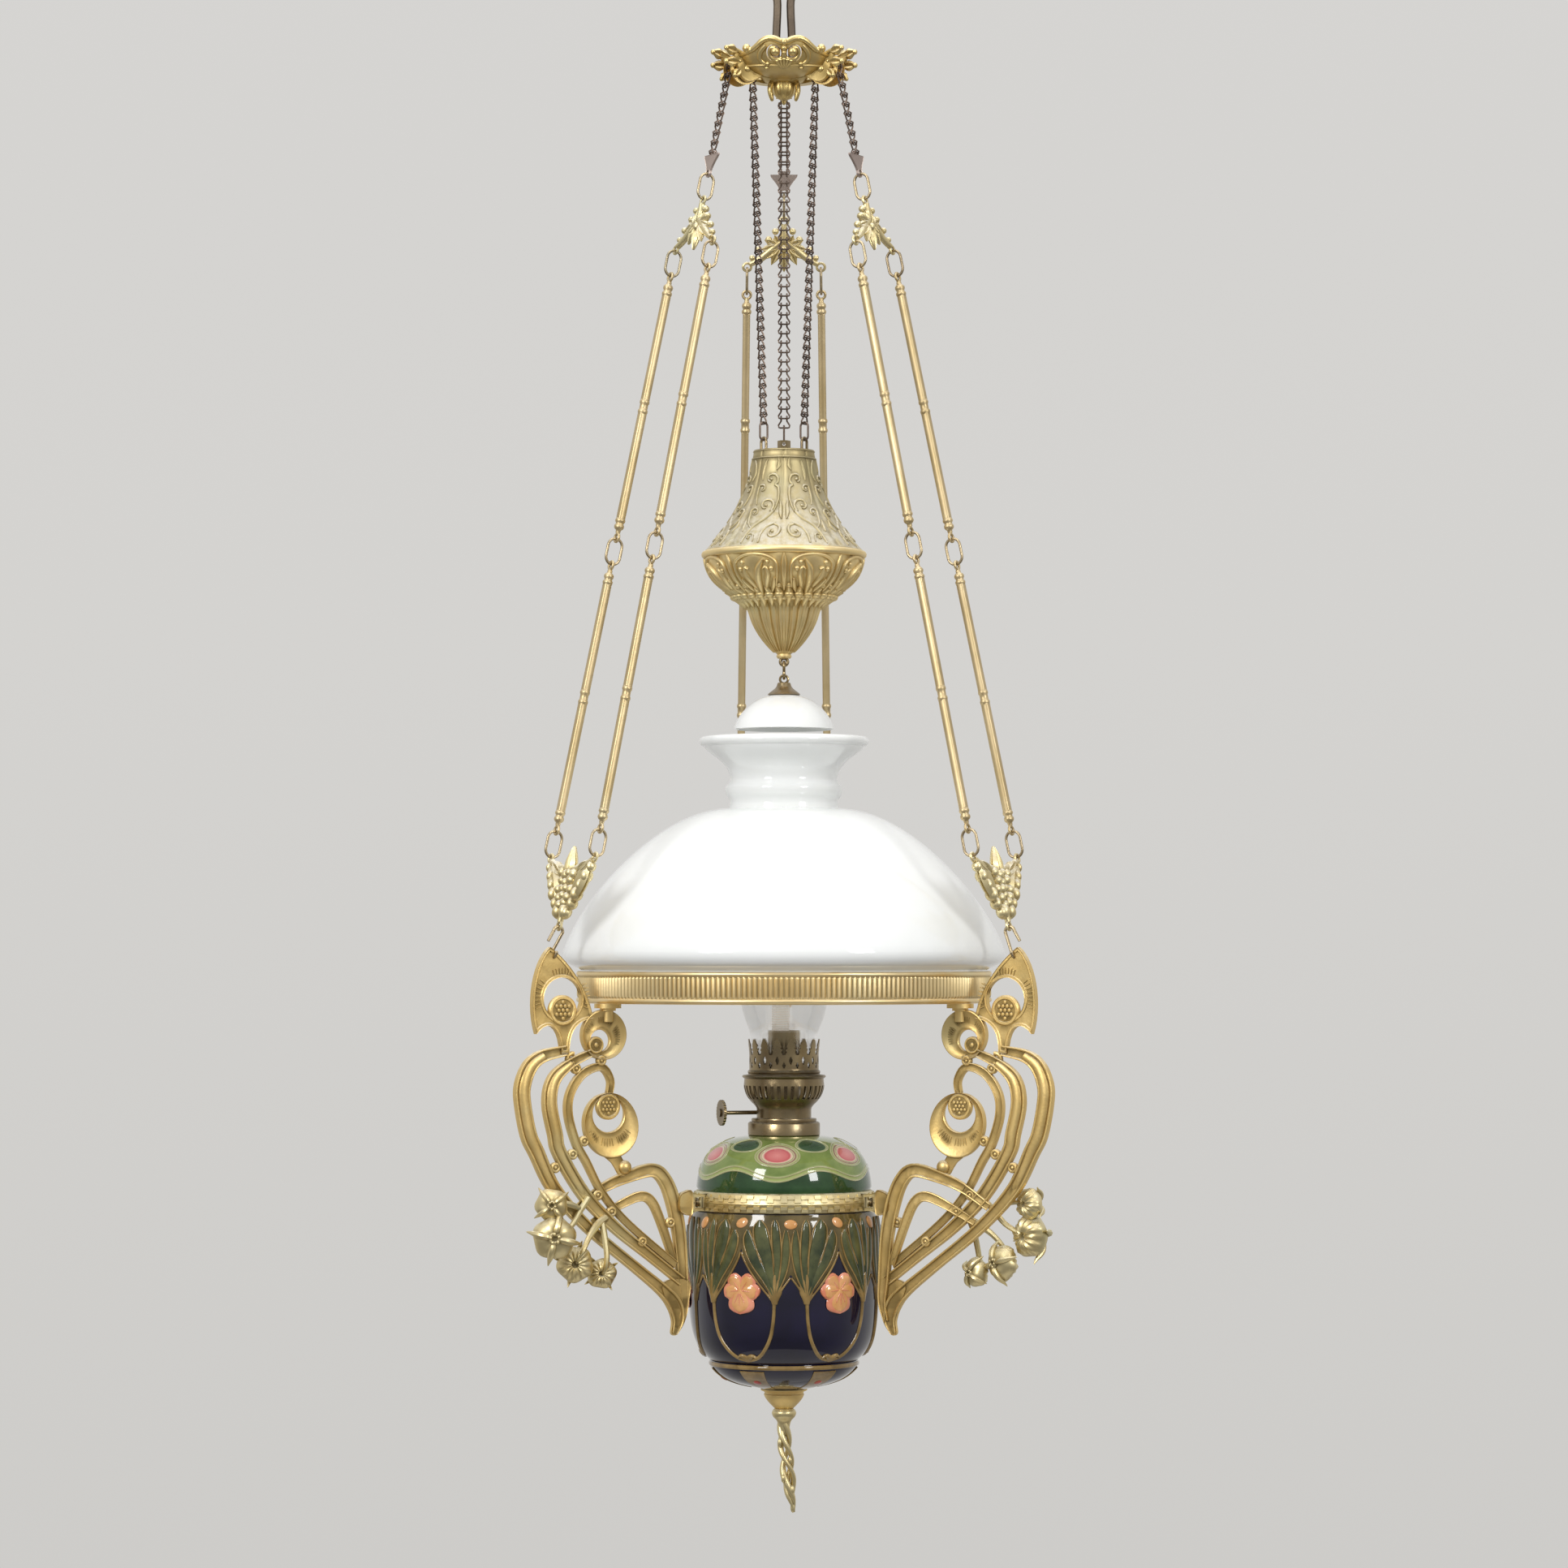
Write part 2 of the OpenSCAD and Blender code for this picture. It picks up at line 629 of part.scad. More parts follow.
// S-hooks: a loop through the spreader's eye, a shank and a turn through the arm's hole
module arm_hooks() color(gilt)
    for (a = sides) on_line(a, lower_end_s + hook_top_seat) {
        low_z = -hook_gap + hook_top_seat + hook_seat + hook_bend_r;
        joint_r = hook_wire_r * 1.12;
        tail_h = 9;
        translate([0, 0, -hook_top_r]) rotate([90, 0, 0])
            rotate_extrude(angle = 180) translate([hook_top_r, 0]) circle(hook_wire_r);
        translate([0, 0, low_z]) rotate([90, 180, 90])
            rotate_extrude(angle = 180) translate([hook_bend_r, 0]) circle(hook_wire_r);
        bar([-hook_top_r, 0, -hook_top_r], [0, -hook_bend_r, low_z], hook_wire_r);
        translate([-hook_top_r, 0, -hook_top_r]) sphere(joint_r);
        translate([0, -hook_bend_r, low_z]) sphere(joint_r);
        translate([0, hook_bend_r, low_z]) sphere(joint_r);
        translate([hook_top_r, 0, -hook_top_r]) sphere(joint_r);
        bar([hook_top_r, 0, -hook_top_r], [hook_top_r + 3, 0, -hook_top_r - tail_h], hook_wire_r);
    }

// Cast arms, drawn at [reach, height over the font ring's middle, width]
bar_a = [[195, 120, 8], [215, 116, 10], [226, 108, 12], [232, 94, 13], [232, 80, 13], [227, 56, 13],
    [220, 42, 12.5], [205, 14, 11], [175, -17, 9], [136, -47, 8.5], [109, -67, 10], [99, -79, 13]];
bar_b = [[173, 118, 6], [191, 110, 8], [205, 98, 11], [209, 80, 12], [204, 56, 12], [200, 41, 11.5],
    [179, 9, 11], [152, -17, 9.5], [120, -41, 8], [93, -61, 8]];
bar_c = [[160, 84, 5.5], [158.5, 97, 6], [166.5, 106, 6.5], [180, 102, 7], [191, 87, 7], [192.5, 70, 7],
    [185.5, 48, 7], [177, 34, 6.5], [162.5, 9, 6], [140, -15, 6], [98, -48, 6]];
bar_d_top = [[185, -3, 6], [160, 14, 8], [135, 23, 10], [111, 26, 11]];
bar_d_side = [[108, 26, 11], [99, 5, 12], [94, -25, 11], [92, -58, 9]];
bar_e_top = [[171, -15, 5], [146, 0, 7], [124, 8, 8]];
bar_e_side = [[122, 8, 8], [111, -13, 7.5], [98, -46, 6]];
head_outline = concat(
    bez([[209, 200], [222, 190], [229, 158], [221, 133]], 8),
    bez([[221, 133], [211, 145], [200, 140], [199.5, 118]], 6),
    bez([[192.5, 118], [193, 138], [184, 143], [172, 145]], 6),
    tail(bez([[172, 145], [176, 166], [190, 186], [209, 200]], 8))
);
foot_outline = [[109, -60], [104, -82], [100, -92], [102, -101],
    [97, -103], [90, -92], [86.5, -76], [87, -58]];
ring_disc = [162, 132];
ring_disc_r = 19.5;
egg_disc = [157, 63];
egg_r = 24;
studs = [[204, 30], [189, 40], [179, 50], [103, -15], [128, -29],
    [167, 8], [155, -5], [164, 112], [186, 106]];
blossoms = [[212, 2, 12.5], [211, -23, 17], [191, -44, 14.5], [168, -52, 11]];
stalks = [[190, 4], [186, -6], [172, -18], [172, -18]];
nut_seat = 150.5;

module arm_bars() {
    for (c = [bar_a, bar_d_side]) plate(arm_t) polygon(band(spline(fit(c))));
    plate(arm_t - 0.6) polygon(band(spline(fit(bar_b))));
    plate(arm_t - 1.2) polygon(band(spline(fit(bar_c))));
    plate(arm_t - 0.9) polygon(band(spline(fit(bar_d_top))));
    for (c = [bar_e_top, bar_e_side]) plate(arm_t - 1.6) polygon(band(spline(fit(c))));
    for (p = fit(studs)) translate([p[0], 0, p[1]]) peg(4 * swell, arm_t - 2);
}

// A flat disc with a round opening and a smaller disc standing in it
module pierced_disc(c, r, open_at, open_r, disc_at, disc_r, t) {
    difference() {
        translate([c[0], 0, c[1]]) peg(r * swell, t);
        translate([open_at[0], 0, open_at[1]]) peg(open_r * swell, 2 * t);
    }
    translate([disc_at[0], 0, disc_at[1]]) peg(disc_r * swell, t - 0.8);
}

// A cupped blossom beside the arm; facing 1 opens it away from the arm, -1 towards it
module blossom(p, stalk, facing) {
    out = arm_t / 2 + p[2] * 0.55;
    cup = p[2];
    translate([p[0], out, p[1]]) rotate([-90 * facing, 0, 0]) rotate_extrude() polygon(concat(
        bez([[0, cup * 0.2], [cup * 0.4, cup * 0.35], [cup * 0.9, cup * 0.4], [cup, cup * 0.05]], 6),
        tail(bez([[cup, cup * 0.05], [cup * 0.9, -cup * 0.35], [cup * 0.5, -cup * 0.5], [0, -cup * 0.5]], 6))
    ));
    bar([stalk[0], arm_t / 2 - 1, stalk[1]], [p[0], out, p[1]], 2.2);
}

module arm(angle) color(gilt) at(angle) translate([0, 0, font_z]) {
    pad_h = 9;
    pad_d = 13;
    pad_t = 8;
    flat_z = fit_z(nut_seat);
    pin_x = arm_pin_reach;
    difference() {
        union() {
            arm_bars();
            difference() {
                plate(head_t) polygon(fit(head_outline));
                translate([fit_x(198.5), 0, fit_z(160)]) peg(16.5 * swell, 2 * arm_t);
            }
            translate([fit_x(198), 0, fit_z(151)]) peg(12 * swell, head_t - 0.8);
            plate(arm_t - 0.3) polygon(fit(foot_outline));
            difference() {
                pierced_disc(fit([ring_disc])[0], ring_disc_r, fit([[165.5, 127.5]])[0], 8.5,
                    fit([[169, 124]])[0], 6.6, arm_t - 0.4);
                translate([pin_x - 15, -arm_t, flat_z]) cube([30, 2 * arm_t, 10]);
            }
            pierced_disc(fit([egg_disc])[0], egg_r, fit([[158, 69]])[0], 14.5,
                fit([[158, 75]])[0], 10.5, arm_t - 0.8);
            plate(arm_t - 0.5) polygon(fit([[150, 42], [138, 26], [146, 20], [168, 44]]));
            translate([fit_x(143), 0, fit_z(29)]) peg(5.5 * swell, arm_t + 1);
            translate([lug_face_r, -pad_t / 2, -pad_h]) cube([pad_d, pad_t, 2 * pad_h]);
            translate([pin_x, 0, flat_z - 7]) cylinder(h = 7, r = 4.5);
            translate([pin_x, 0, flat_z - 2]) cylinder(h = arm_rise - flat_z + ring_sheet + 6, r = pin_r);
            for (i = [0 : len(blossoms) - 1])
                blossom(fit(blossoms)[i], fit(stalks)[i], i < 2 ? 1 : -1);
        }
        translate([arm_hole[0], 0, arm_hole[1]]) peg(arm_hole_r, 3 * arm_t);
        translate([lug_face_r - 1, 0, 0]) rotate([0, 90, 0]) cylinder(h = screw_h + 2, r = screw_r + run_fit);
    }
}

// Shade ring and the nuts that carry it on the arms
module shade_ring() color(gilt) translate([0, 0, seat_z]) {
    ledge = 16;
    bead_r = 2;
    difference() {
        union() {
            rotate_extrude() polygon([
                [ring_r - ledge, -ring_sheet], [ring_r, -ring_sheet], [ring_r, ring_band_h],
                [ring_r - ring_wall, ring_band_h], [ring_r - ring_wall, 0], [ring_r - ledge, 0]
            ]);
            for (z = [bead_r - ring_sheet + 0.2, ring_band_h])
                rotate_extrude() translate([ring_r - 0.4, z]) circle(bead_r);
        }
        translate([0, 0, -0.01]) cylinder(h = ring_band_h * 2, r = foot_edge_r + seat_gap);
        for (a = sides) at(a) translate([arm_pin_reach, 0, 0])
            cylinder(h = 4 * ring_sheet, r = pin_r + loose_fit, center = true);
    }
}

module ring_nuts() color(gilt)
    for (a = sides) at(a) translate([arm_pin_reach, 0, font_z]) {
        flange = 10.5;
        neck = 6.3;
        top = arm_rise;
        bottom = fit_z(nut_seat);
        rotate_extrude() polygon([
            [pin_r + run_fit, bottom], [neck, bottom], [neck, top - nut_flange_t],
            [flange, top - nut_flange_t], [flange, top], [pin_r + run_fit, top]
        ]);
    }

// Opal glass shade
foot_edge_r = ring_r - ring_wall - 0.6;
belly_h = 39;
module shade() color(opal) translate([0, 0, seat_z]) {
    n = shade_neck_r;
    top = shade_h;
    lip = 4;
    outline = concat(
        bez([[shade_rim_r, top - lip], [shade_rim_r - 2, top - 14], [n + 4, top - 16], [n, top - 31]], 8),
        tail(bez([[n, top - 31], [n - 2, top - 38], [n + 5, top - 37], [n + 4, top - 43]], 5)),
        tail(bez([[n + 4, top - 43], [n + 3, top - 50], [n - 2, top - 48], [n + 1, top - 57]], 5)),
        tail(bez([[n + 1, top - 57], [n + 56, top - 57],
            [shade_r - 13, belly_h + 41], [shade_r, belly_h]], 14)),
        tail(bez([[shade_r, belly_h], [shade_r + 2, belly_h - 10], [foot_edge_r + 8, ring_band_h + 7],
            [foot_edge_r, ring_band_h + 3]], 7)),
        [[foot_edge_r, shade_wall]]
    );
    difference() {
        rotate_extrude() polygon(concat(outline, [[foot_edge_r, 0], [foot_edge_r - shade_wall, 0]],
            inner(outline, shade_wall)));
        for (a = sides) at(a) translate([arm_pin_reach, 0, -1])
            cylinder(h = 12, r = pin_r + 2);
    }
    rotate_extrude() translate([shade_rim_r - lip / 2 - 0.4, shade_h - lip]) circle(lip);
}

// Counterweight, with its outlines drawn from the belt
tie_r = 2.5;
weight_high = bez([[weight_top_r, weight_upper_h], [weight_top_r + 5, weight_upper_h * 0.55],
    [weight_r - 22, weight_upper_h * 0.3], [weight_r - 0.2, 0]], 12);
weight_low = concat(
    [[weight_r, 0]],
    bez([[weight_r, -3], [weight_r - 1, -22], [weight_r - 12, -28], [weight_r - 22, -34]], 7),
    tail(bez([[weight_r - 22, -34], [weight_r - 30, -39], [weight_r - 36, -42], [weight_r - 38, -52]], 5)),
    tail(bez([[weight_r - 38, -52], [weight_r - 41, -64], [weight_r - 50, 8 - weight_lower_h],
        [tie_r + 3, 2 - weight_lower_h]], 7))
);
module weight_upper_shell() color(gilt) translate([0, 0, belt_z]) {
    h = weight_upper_h;
    difference() {
        rotate_extrude() polygon(concat(
            [[0, h]], weight_high, inner(tail(weight_high), weight_wall),
            [[weight_top_r - weight_wall, h - weight_wall], [0, h - weight_wall]]
        ));
        cylinder(h = 2 * h, r = tie_r + loose_fit);
        translate([0, 0, -h]) cylinder(h = h, r = 2 * weight_r);
        for (a = sides) at(a) for (s = [-1, 1]) translate([chain_foot_r, s * staple_half, h / 2])
            cylinder(h = h, r = staple_r + run_fit);
    }
}

module weight_lower_shell() color(gilt) translate([0, 0, belt_z]) {
    h = weight_lower_h;
    bead_r = 3;
    difference() {
        union() {
            rotate_extrude() polygon(concat(
                weight_low, [[tie_r + 2, -h], [0, -h], [0, 2 - h]], inner(weight_low, weight_wall)
            ));
            rotate_extrude() translate([weight_r - 0.2, -bead_r - 0.2]) circle(bead_r);
        }
        translate([0, 0, -2 * h]) cylinder(h = 2 * h, r = tie_r + loose_fit);
        translate([0, 0, -8]) cylinder(h = 16, r = weight_r - weight_wall);
    }
}

tie_nut_h = 8;
module weight_tie_rod() color(old_brass) {
    nut_r = 5.2;
    difference() {
        union() {
            translate([0, 0, weight_bottom_z - 1])
                cylinder(h = weight_top_z - weight_bottom_z + 3, r = tie_r);
            translate([0, 0, weight_top_z]) cylinder(h = tie_nut_h, r = nut_r, $fn = 6);
        }
        translate([0, 0, weight_top_z + tie_nut_h / 2 + 1]) peg(1.4, 20);
    }
    translate([0, 0, tie_eye_z]) rotate([90, 0, 0]) rotate_extrude()
        translate([tie_eye_r - tie_eye_wire, 0]) circle(tie_eye_wire);
    translate([0, 0, weight_bottom_z - 1.2]) cylinder(h = 1.2, r = tie_r + 1.5);
}

module weight_ballast() color(iron) translate([0, 0, belt_z]) {
    bore = tie_r + loose_fit;
    low = inner(weight_low, weight_wall + 0.02);
    high = [for (p = inner(weight_high, weight_wall + seat_gap)) if (p[1] > 1 && p[1] < ballast_h) p];
    rotate_extrude() polygon(concat(
        [[bore, low[1][1]]],
        [for (p = low) if (p[0] > bore + 1 && p[1] < -1) p],
        high,
        [[bore, high[len(high) - 1][1]]]
    ));
}

module weight_loops() color(old_brass)
    for (a = sides) at(a) translate([chain_foot_r, 0, weight_top_z]) {
        leg_h = staple_h - staple_half;
        foot_h = weight_wall + 2.5;
        translate([0, 0, leg_h]) rotate([90, 0, 90]) rotate_extrude(angle = 180)
            translate([staple_half, 0]) circle(staple_r);
        for (s = [-1, 1]) translate([0, s * staple_half, -foot_h]) cylinder(h = leg_h + foot_h, r = staple_r);
    }

module weight_chain_rings() color(dark_wire)
    for (a = sides) at(a) translate([chain_foot_r, 0, small_ring_high_z])
        oval_ring(small_ring_h, small_ring_w, small_wire_r);

// Smoke bell and the hook that carries it
hook_r = 1.2;
hook_loop_r = 3.4;
module bell_hook() color(old_brass) {
    top_z = tie_eye_z - tie_eye_r + 2 * tie_eye_wire + hook_r + loose_fit;
    low_z = bell_eye_z - hook_r - bell_eye_wire - loose_fit + bell_eye_r;
    translate([0, 0, top_z - hook_loop_r]) rotate([90, 0, 90]) rotate_extrude(angle = 200, start = -20)
        translate([hook_loop_r, 0]) circle(hook_r);
    translate([0, 0, low_z + hook_loop_r]) rotate([90, 0, 90]) rotate_extrude(angle = 200, start = 160)
        translate([hook_loop_r, 0]) circle(hook_r);
    translate([0, 0, top_z]) peg(hook_r + loose_fit / 2, 3);
    bar([0, -hook_loop_r, top_z - hook_loop_r], [0, hook_loop_r, low_z + hook_loop_r], hook_r);
    translate([0, -hook_loop_r, top_z - hook_loop_r]) sphere(hook_r * 1.15);
    translate([0, hook_loop_r, low_z + hook_loop_r]) sphere(hook_r * 1.15);
}

bell_eye_r = 3.2;
bell_eye_wire = 1;
bell_stem_r = 2.5;
module bell_cap() color(old_brass) {
    cap_low_r = 13;
    cap_high_r = 5;
    rotate_extrude() polygon(concat(
        [[0, bell_top_z + cap_h]],
        bez([[cap_high_r, bell_top_z + cap_h], [cap_high_r + 1, bell_top_z + 4],
            [cap_low_r - 3, bell_top_z + 4], [cap_low_r, bell_top_z + 0.4]], 6),
        [[cap_low_r, bell_top_z], [bell_stem_r, bell_top_z], [bell_stem_r, bell_top_z - bell_wall],
            [bell_stem_r + 4, bell_top_z - bell_wall], [bell_stem_r + 4, bell_top_z - bell_wall - 3],
            [0, bell_top_z - bell_wall - 3]]
    ));
    translate([0, 0, bell_eye_z]) rotate([90, 0, 0]) rotate_extrude()
        translate([bell_eye_r, 0]) circle(bell_eye_wire);
}

module smoke_bell() color(opal) {
    flat_r = 13;
    outline = concat(
        [[bell_stem_r + loose_fit, bell_top_z], [flat_r, bell_top_z]],
        tail(bez([[flat_r, bell_top_z], [bell_r - 8, bell_top_z - 5],
            [bell_r - 1, bell_z + 12], [bell_r, bell_z]], 10))
    );
    rotate_extrude() polygon(concat(outline, [[bell_r - bell_wall, bell_z]],
        tail(inner(tail(outline), bell_wall)), [[bell_stem_r + loose_fit, bell_top_z - bell_wall]]));
}

// Font ring, font and vase
well_r = font_r - 8;
ring_in_r = well_r + 0.8;
font_ring_r = font_r + 1.5;
ring_low_r = font_r + 3;
screw_r = 2;
screw_h = 12;
module font_ring() color(gilt) translate([0, 0, font_z]) {
    half = font_ring_h / 2;
    lug_half = 6;
    window_h = 9;
    window = [lug_face_r - lug_wall - ring_low_r - 1, 4 * lug_half, window_h];
    band_in = font_r - 2;
    difference() {
        union() {
            rotate_extrude() polygon([
                [ring_in_r, half], [font_ring_r - 1, half], [font_ring_r, half - 1], [font_ring_r, 1],
                [ring_low_r, 0], [ring_low_r, 1 - half], [ring_low_r - 1, -half],
                [band_in, -half], [band_in, half - 3], [ring_in_r, half - 3]
            ]);
            for (a = sides) at(a) translate([font_r - 1, -lug_half, 1 - half])
                cube([lug_face_r - font_r + 1, 2 * lug_half, font_ring_h - 2]);
        }
        for (a = sides) at(a) {
            translate([ring_low_r + 1, -2 * lug_half, -window_h / 2]) cube(window);
            translate([ring_low_r + 2, 0, 0]) rotate([0, 90, 0])
                cylinder(h = lug_reach, r = screw_r + run_fit);
        }
    }
}

module arm_screws() color(old_brass)
    for (a = sides) at(a) translate([lug_face_r - lug_wall, 0, font_z]) rotate([0, 90, 0]) {
        head = 3.5;
        head_h = 2.6;
        cylinder(h = lug_wall + screw_h - 2, r = screw_r);
        translate([0, 0, -head_h]) cylinder(h = head_h, r = head);
    }

dome_base_z = font_z + font_ring_h / 2;
collar_z = dome_base_z + font_dome_h;
burner_z = collar_z + collar_h;
thread_r = neck_r + 1.2;
mouth_r = thread_r - glaze_wall;
module font() color(glaze_green) {
    well_low_z = font_z - font_ring_h / 2 - well_h;
    dome = bez([[collar_r + 1, collar_z], [font_r - 14, collar_z - 3], [font_r - 2, collar_z - 14],
        [font_r, dome_base_z + 3]], 12);
    outer = concat([[mouth_r, collar_z]], dome, [[font_r - 1.5, dome_base_z], [well_r, dome_base_z]]);
    rotate_extrude() polygon(concat(
        outer,
        [[well_r, well_low_z + 8], [well_r - 8, well_low_z], [0, well_low_z], [0, well_low_z + glaze_wall]],
        [[well_r - 10, well_low_z + glaze_wall], [well_r - glaze_wall, well_low_z + 10]],
        [[well_r - glaze_wall, dome_base_z + 3]],
        [for (i = [len(dome) - 2 : -1 : 1]) dome[i] - side_way(dome, i) * glaze_wall],
        [[mouth_r, collar_z - glaze_wall]]
    ));
}

vase_top_z = font_z - font_ring_h / 2;
vase_low_z = vase_top_z - vase_h;
foot_band_r = vase_r - 18;
module vase() color(glaze_blue) {
    outline = concat(
        [[ring_low_r - 1, vase_top_z]],
        bez([[ring_low_r, vase_top_z - 3], [vase_r + 1, vase_top_z - 12],
            [vase_r, vase_top_z - 40], [vase_r - 0.5, vase_top_z - 64]], 6),
        tail(bez([[vase_r - 0.5, vase_top_z - 64], [vase_r - 1, vase_low_z + 42],
            [vase_r - 6, vase_low_z + 32], [foot_band_r, vase_low_z + 22]], 8)),
        [[foot_band_r + 1, vase_low_z + 20], [foot_band_r, vase_low_z + 17.5]],
        tail(bez([[foot_band_r, vase_low_z + 17.5], [foot_band_r - 7, vase_low_z + 8],
            [foot_band_r - 18, vase_low_z + 3], [cup_r, vase_low_z]], 7))
    );
    rotate_extrude() polygon(concat(outline,
        [[bolt_r + loose_fit, vase_low_z], [bolt_r + loose_fit, vase_low_z + glaze_wall]],
        [for (i = [len(outline) - 1 : -1 : 1]) outline[i] - side_way(outline, i) * glaze_wall],
        [[ring_low_r - 1 - glaze_wall, vase_top_z]]));
}

// Burner
module font_collar() color(old_brass)
    rotate_extrude() polygon([
        [thread_r + run_fit, collar_z], [collar_r - 0.5, collar_z], [collar_r, collar_z + 1],
        [collar_r, burner_z - 1], [collar_r - 0.5, burner_z], [thread_r + run_fit, burner_z]
    ]);

base_t = 2.5;
spindle_z = burner_z + 6.8;
module burner_body() color(old_brass) {
    wall = 1;
    base_r = neck_r + 4.2;
    stub_h = collar_h - 2;
    slots = 36;
    deck = burner_z + burner_h;
    outer = concat(
        [[burner_r, deck - 3]],
        tail(bez([[burner_r - 1, deck - 4], [burner_r + 1, deck - 16],
            [neck_r + 8, deck - 20], [neck_r + 1, deck - 26]], 8)),
        [[neck_r, deck - 28], [neck_r, burner_z + base_t]]
    );
    difference() {
        rotate_extrude() polygon(concat(
            [[gallery_r - 4, deck], [gallery_r + 1, deck], [burner_r, deck - 1.6]],
            outer,
            [[base_r, burner_z + base_t], [base_r, burner_z]],
            [[thread_r, burner_z], [thread_r, burner_z - stub_h]],
            [[thread_r - 1.5, burner_z - stub_h], [thread_r - 1.5, burner_z]],
            [[tube_r + run_fit, burner_z], [tube_r + run_fit, burner_z + base_t]],
            [[neck_r - wall, burner_z + base_t], [neck_r - wall, deck - 28]],
            [for (i = [len(outer) - 3 : -1 : 1]) outer[i] - side_way(outer, i) * wall],
            [[burner_r - 2, deck - 2.4], [gallery_r - 4, deck - 1.2]]
        ));
        for (i = [0 : slots - 1]) rotate([0, 0, i * 360 / slots]) translate([neck_r + 4, -0.6, deck - 19])
            cube([burner_r, 1.2, 9]);
        at(knob_az) translate([0, -spindle_off, spindle_z]) rotate([0, 90, 0])
            cylinder(h = 2 * neck_r, r = spindle_r + run_fit);
    }
}

module burner_gallery() color(old_brass) translate([0, 0, burner_z + burner_h]) {
    wall = 0.8;
    prongs = 16;
    step = 360 / prongs;
    notch_w = 2 * gallery_r * sin(step / 2) * 0.72;
    difference() {
        union() {
            difference() {
                cylinder(h = gallery_h, r = gallery_r);
                translate([0, 0, 1]) cylinder(h = 2 * gallery_h, r = gallery_r - wall);
                translate([0, 0, -1]) cylinder(h = 4, r = gallery_r - 4);
            }
            rotate_extrude() translate([gallery_r, 2]) circle(1.2);
        }
        translate([0, 0, 1]) cylinder(h = 4, r = gallery_r - wall);
        for (i = [0 : prongs - 1]) rotate([0, 0, i * step]) {
            translate([gallery_r, 0, gallery_h]) rotate([45, 0, 0])
                cube([gallery_r / 2, notch_w, notch_w], center = true);
            rotate([0, 0, step / 2]) translate([gallery_r, 0, gallery_h * 0.45]) rotate([45, 0, 0])
                cube([gallery_r / 2, 2.6, 2.6], center = true);
        }
    }
}

tube_wall = 1;
knob_az = 199;
spindle_r = 1.6;
spur_r = 3.3;
wick_t = 1.7;
wick_gap = 0.3;
wick_out_r = tube_r - tube_wall - wick_gap;
spindle_off = wick_out_r + spur_r + wick_gap;
tube_top_z = burner_z + burner_h + tube_top_h;
module wick_tube() color(old_brass) {
    lip = 2;
    below = 6;
    difference() {
        union() {
            translate([0, 0, burner_z - below]) cylinder(h = tube_top_z - burner_z + below, r = tube_r);
            translate([0, 0, burner_z - 1.5]) cylinder(h = 1.5, r = tube_r + lip);
        }
        translate([0, 0, burner_z - 2 * below])
            cylinder(h = tube_top_z - burner_z + 3 * below, r = tube_r - tube_wall);
        at(knob_az) translate([-2.4, -2 * tube_r, spindle_z - spur_r - 1])
            cube([4.8, 2 * tube_r - tube_r / 2, 2 * spur_r + 2]);
    }
}

wick_below = 34;
module wick() color(cotton) {
    half_turn = 42;
    low = burner_z - wick_below;
    at(knob_az - 90) rotate_extrude(angle = 2 * half_turn, start = -half_turn)
        translate([wick_out_r - wick_t, low]) square([wick_t, tube_top_z + wick_out - low]);
}

module wick_spindle() color(old_brass)
    at(knob_az) translate([0, -spindle_off, spindle_z]) rotate([0, 90, 0]) {
        inside = 5;
        teeth = 12;
        difference() {
            union() {
                translate([0, 0, -inside]) cylinder(h = knob_reach + inside, r = spindle_r);
                translate([0, 0, -2]) cylinder(h = 4, r = spur_r);
            }
            for (i = [0 : teeth - 1]) rotate([0, 0, i * 360 / teeth]) translate([spur_r + 0.2, 0, 0])
                cylinder(h = 12, r = 0.6, center = true);
        }
    }

module wick_knob() color(old_brass)
    at(knob_az) translate([knob_reach, -spindle_off, spindle_z]) rotate([0, 90, 0]) {
        notches = 24;
        knob_t = 2.2;
        difference() {
            cylinder(h = knob_t, r = knob_r);
            for (i = [0 : notches - 1]) rotate([0, 0, i * 360 / notches]) translate([knob_r + 0.3, 0, -1])
                cylinder(h = 3 * knob_t, r = 0.8);
        }
        translate([0, 0, knob_t]) cylinder(h = 1.2, r = spindle_r + 1.6);
    }

// Chimney
module chimney() color(clear_glass) translate([0, 0, burner_z + burner_h + 1]) {
    base_r = gallery_r - 0.8 - seat_gap;
    tube = chimney_tube_r;
    outline = concat(
        [[tube + 0.6, chimney_h]],
        bez([[tube, chimney_h - 6], [tube, chimney_h * 0.72],
            [tube, chimney_h * 0.55], [tube + 1, chimney_h * 0.45]], 4),
        tail(bez([[tube + 1, chimney_h * 0.45], [tube + 4, chimney_h * 0.38],
            [chimney_bulge_r, chimney_h * 0.32], [chimney_bulge_r, chimney_h * 0.23]], 6)),
        tail(bez([[chimney_bulge_r, chimney_h * 0.23], [chimney_bulge_r, chimney_h * 0.18],
            [base_r + 0.5, 34], [base_r, 28]], 6)),
        [[base_r, 0]]
    );
    rotate_extrude() polygon(concat(outline,
        [[base_r - chimney_wall, 0]],
        [for (i = [len(outline) - 2 : -1 : 0]) outline[i] - side_way(outline, i) * chimney_wall]));
}

// Bottom finial
bolt_r = 3;
cup_z = vase_low_z - 0.2;
module finial_bolt() color(old_brass) {
    nut_h = 5;
    top_z = vase_low_z + glaze_wall + 0.1;
    translate([0, 0, cup_z - cup_h - 6]) cylinder(h = top_z - cup_z + cup_h + 6 + nut_h + 3, r = bolt_r);
    translate([0, 0, top_z]) cylinder(h = nut_h, r = 8, $fn = 6);
}

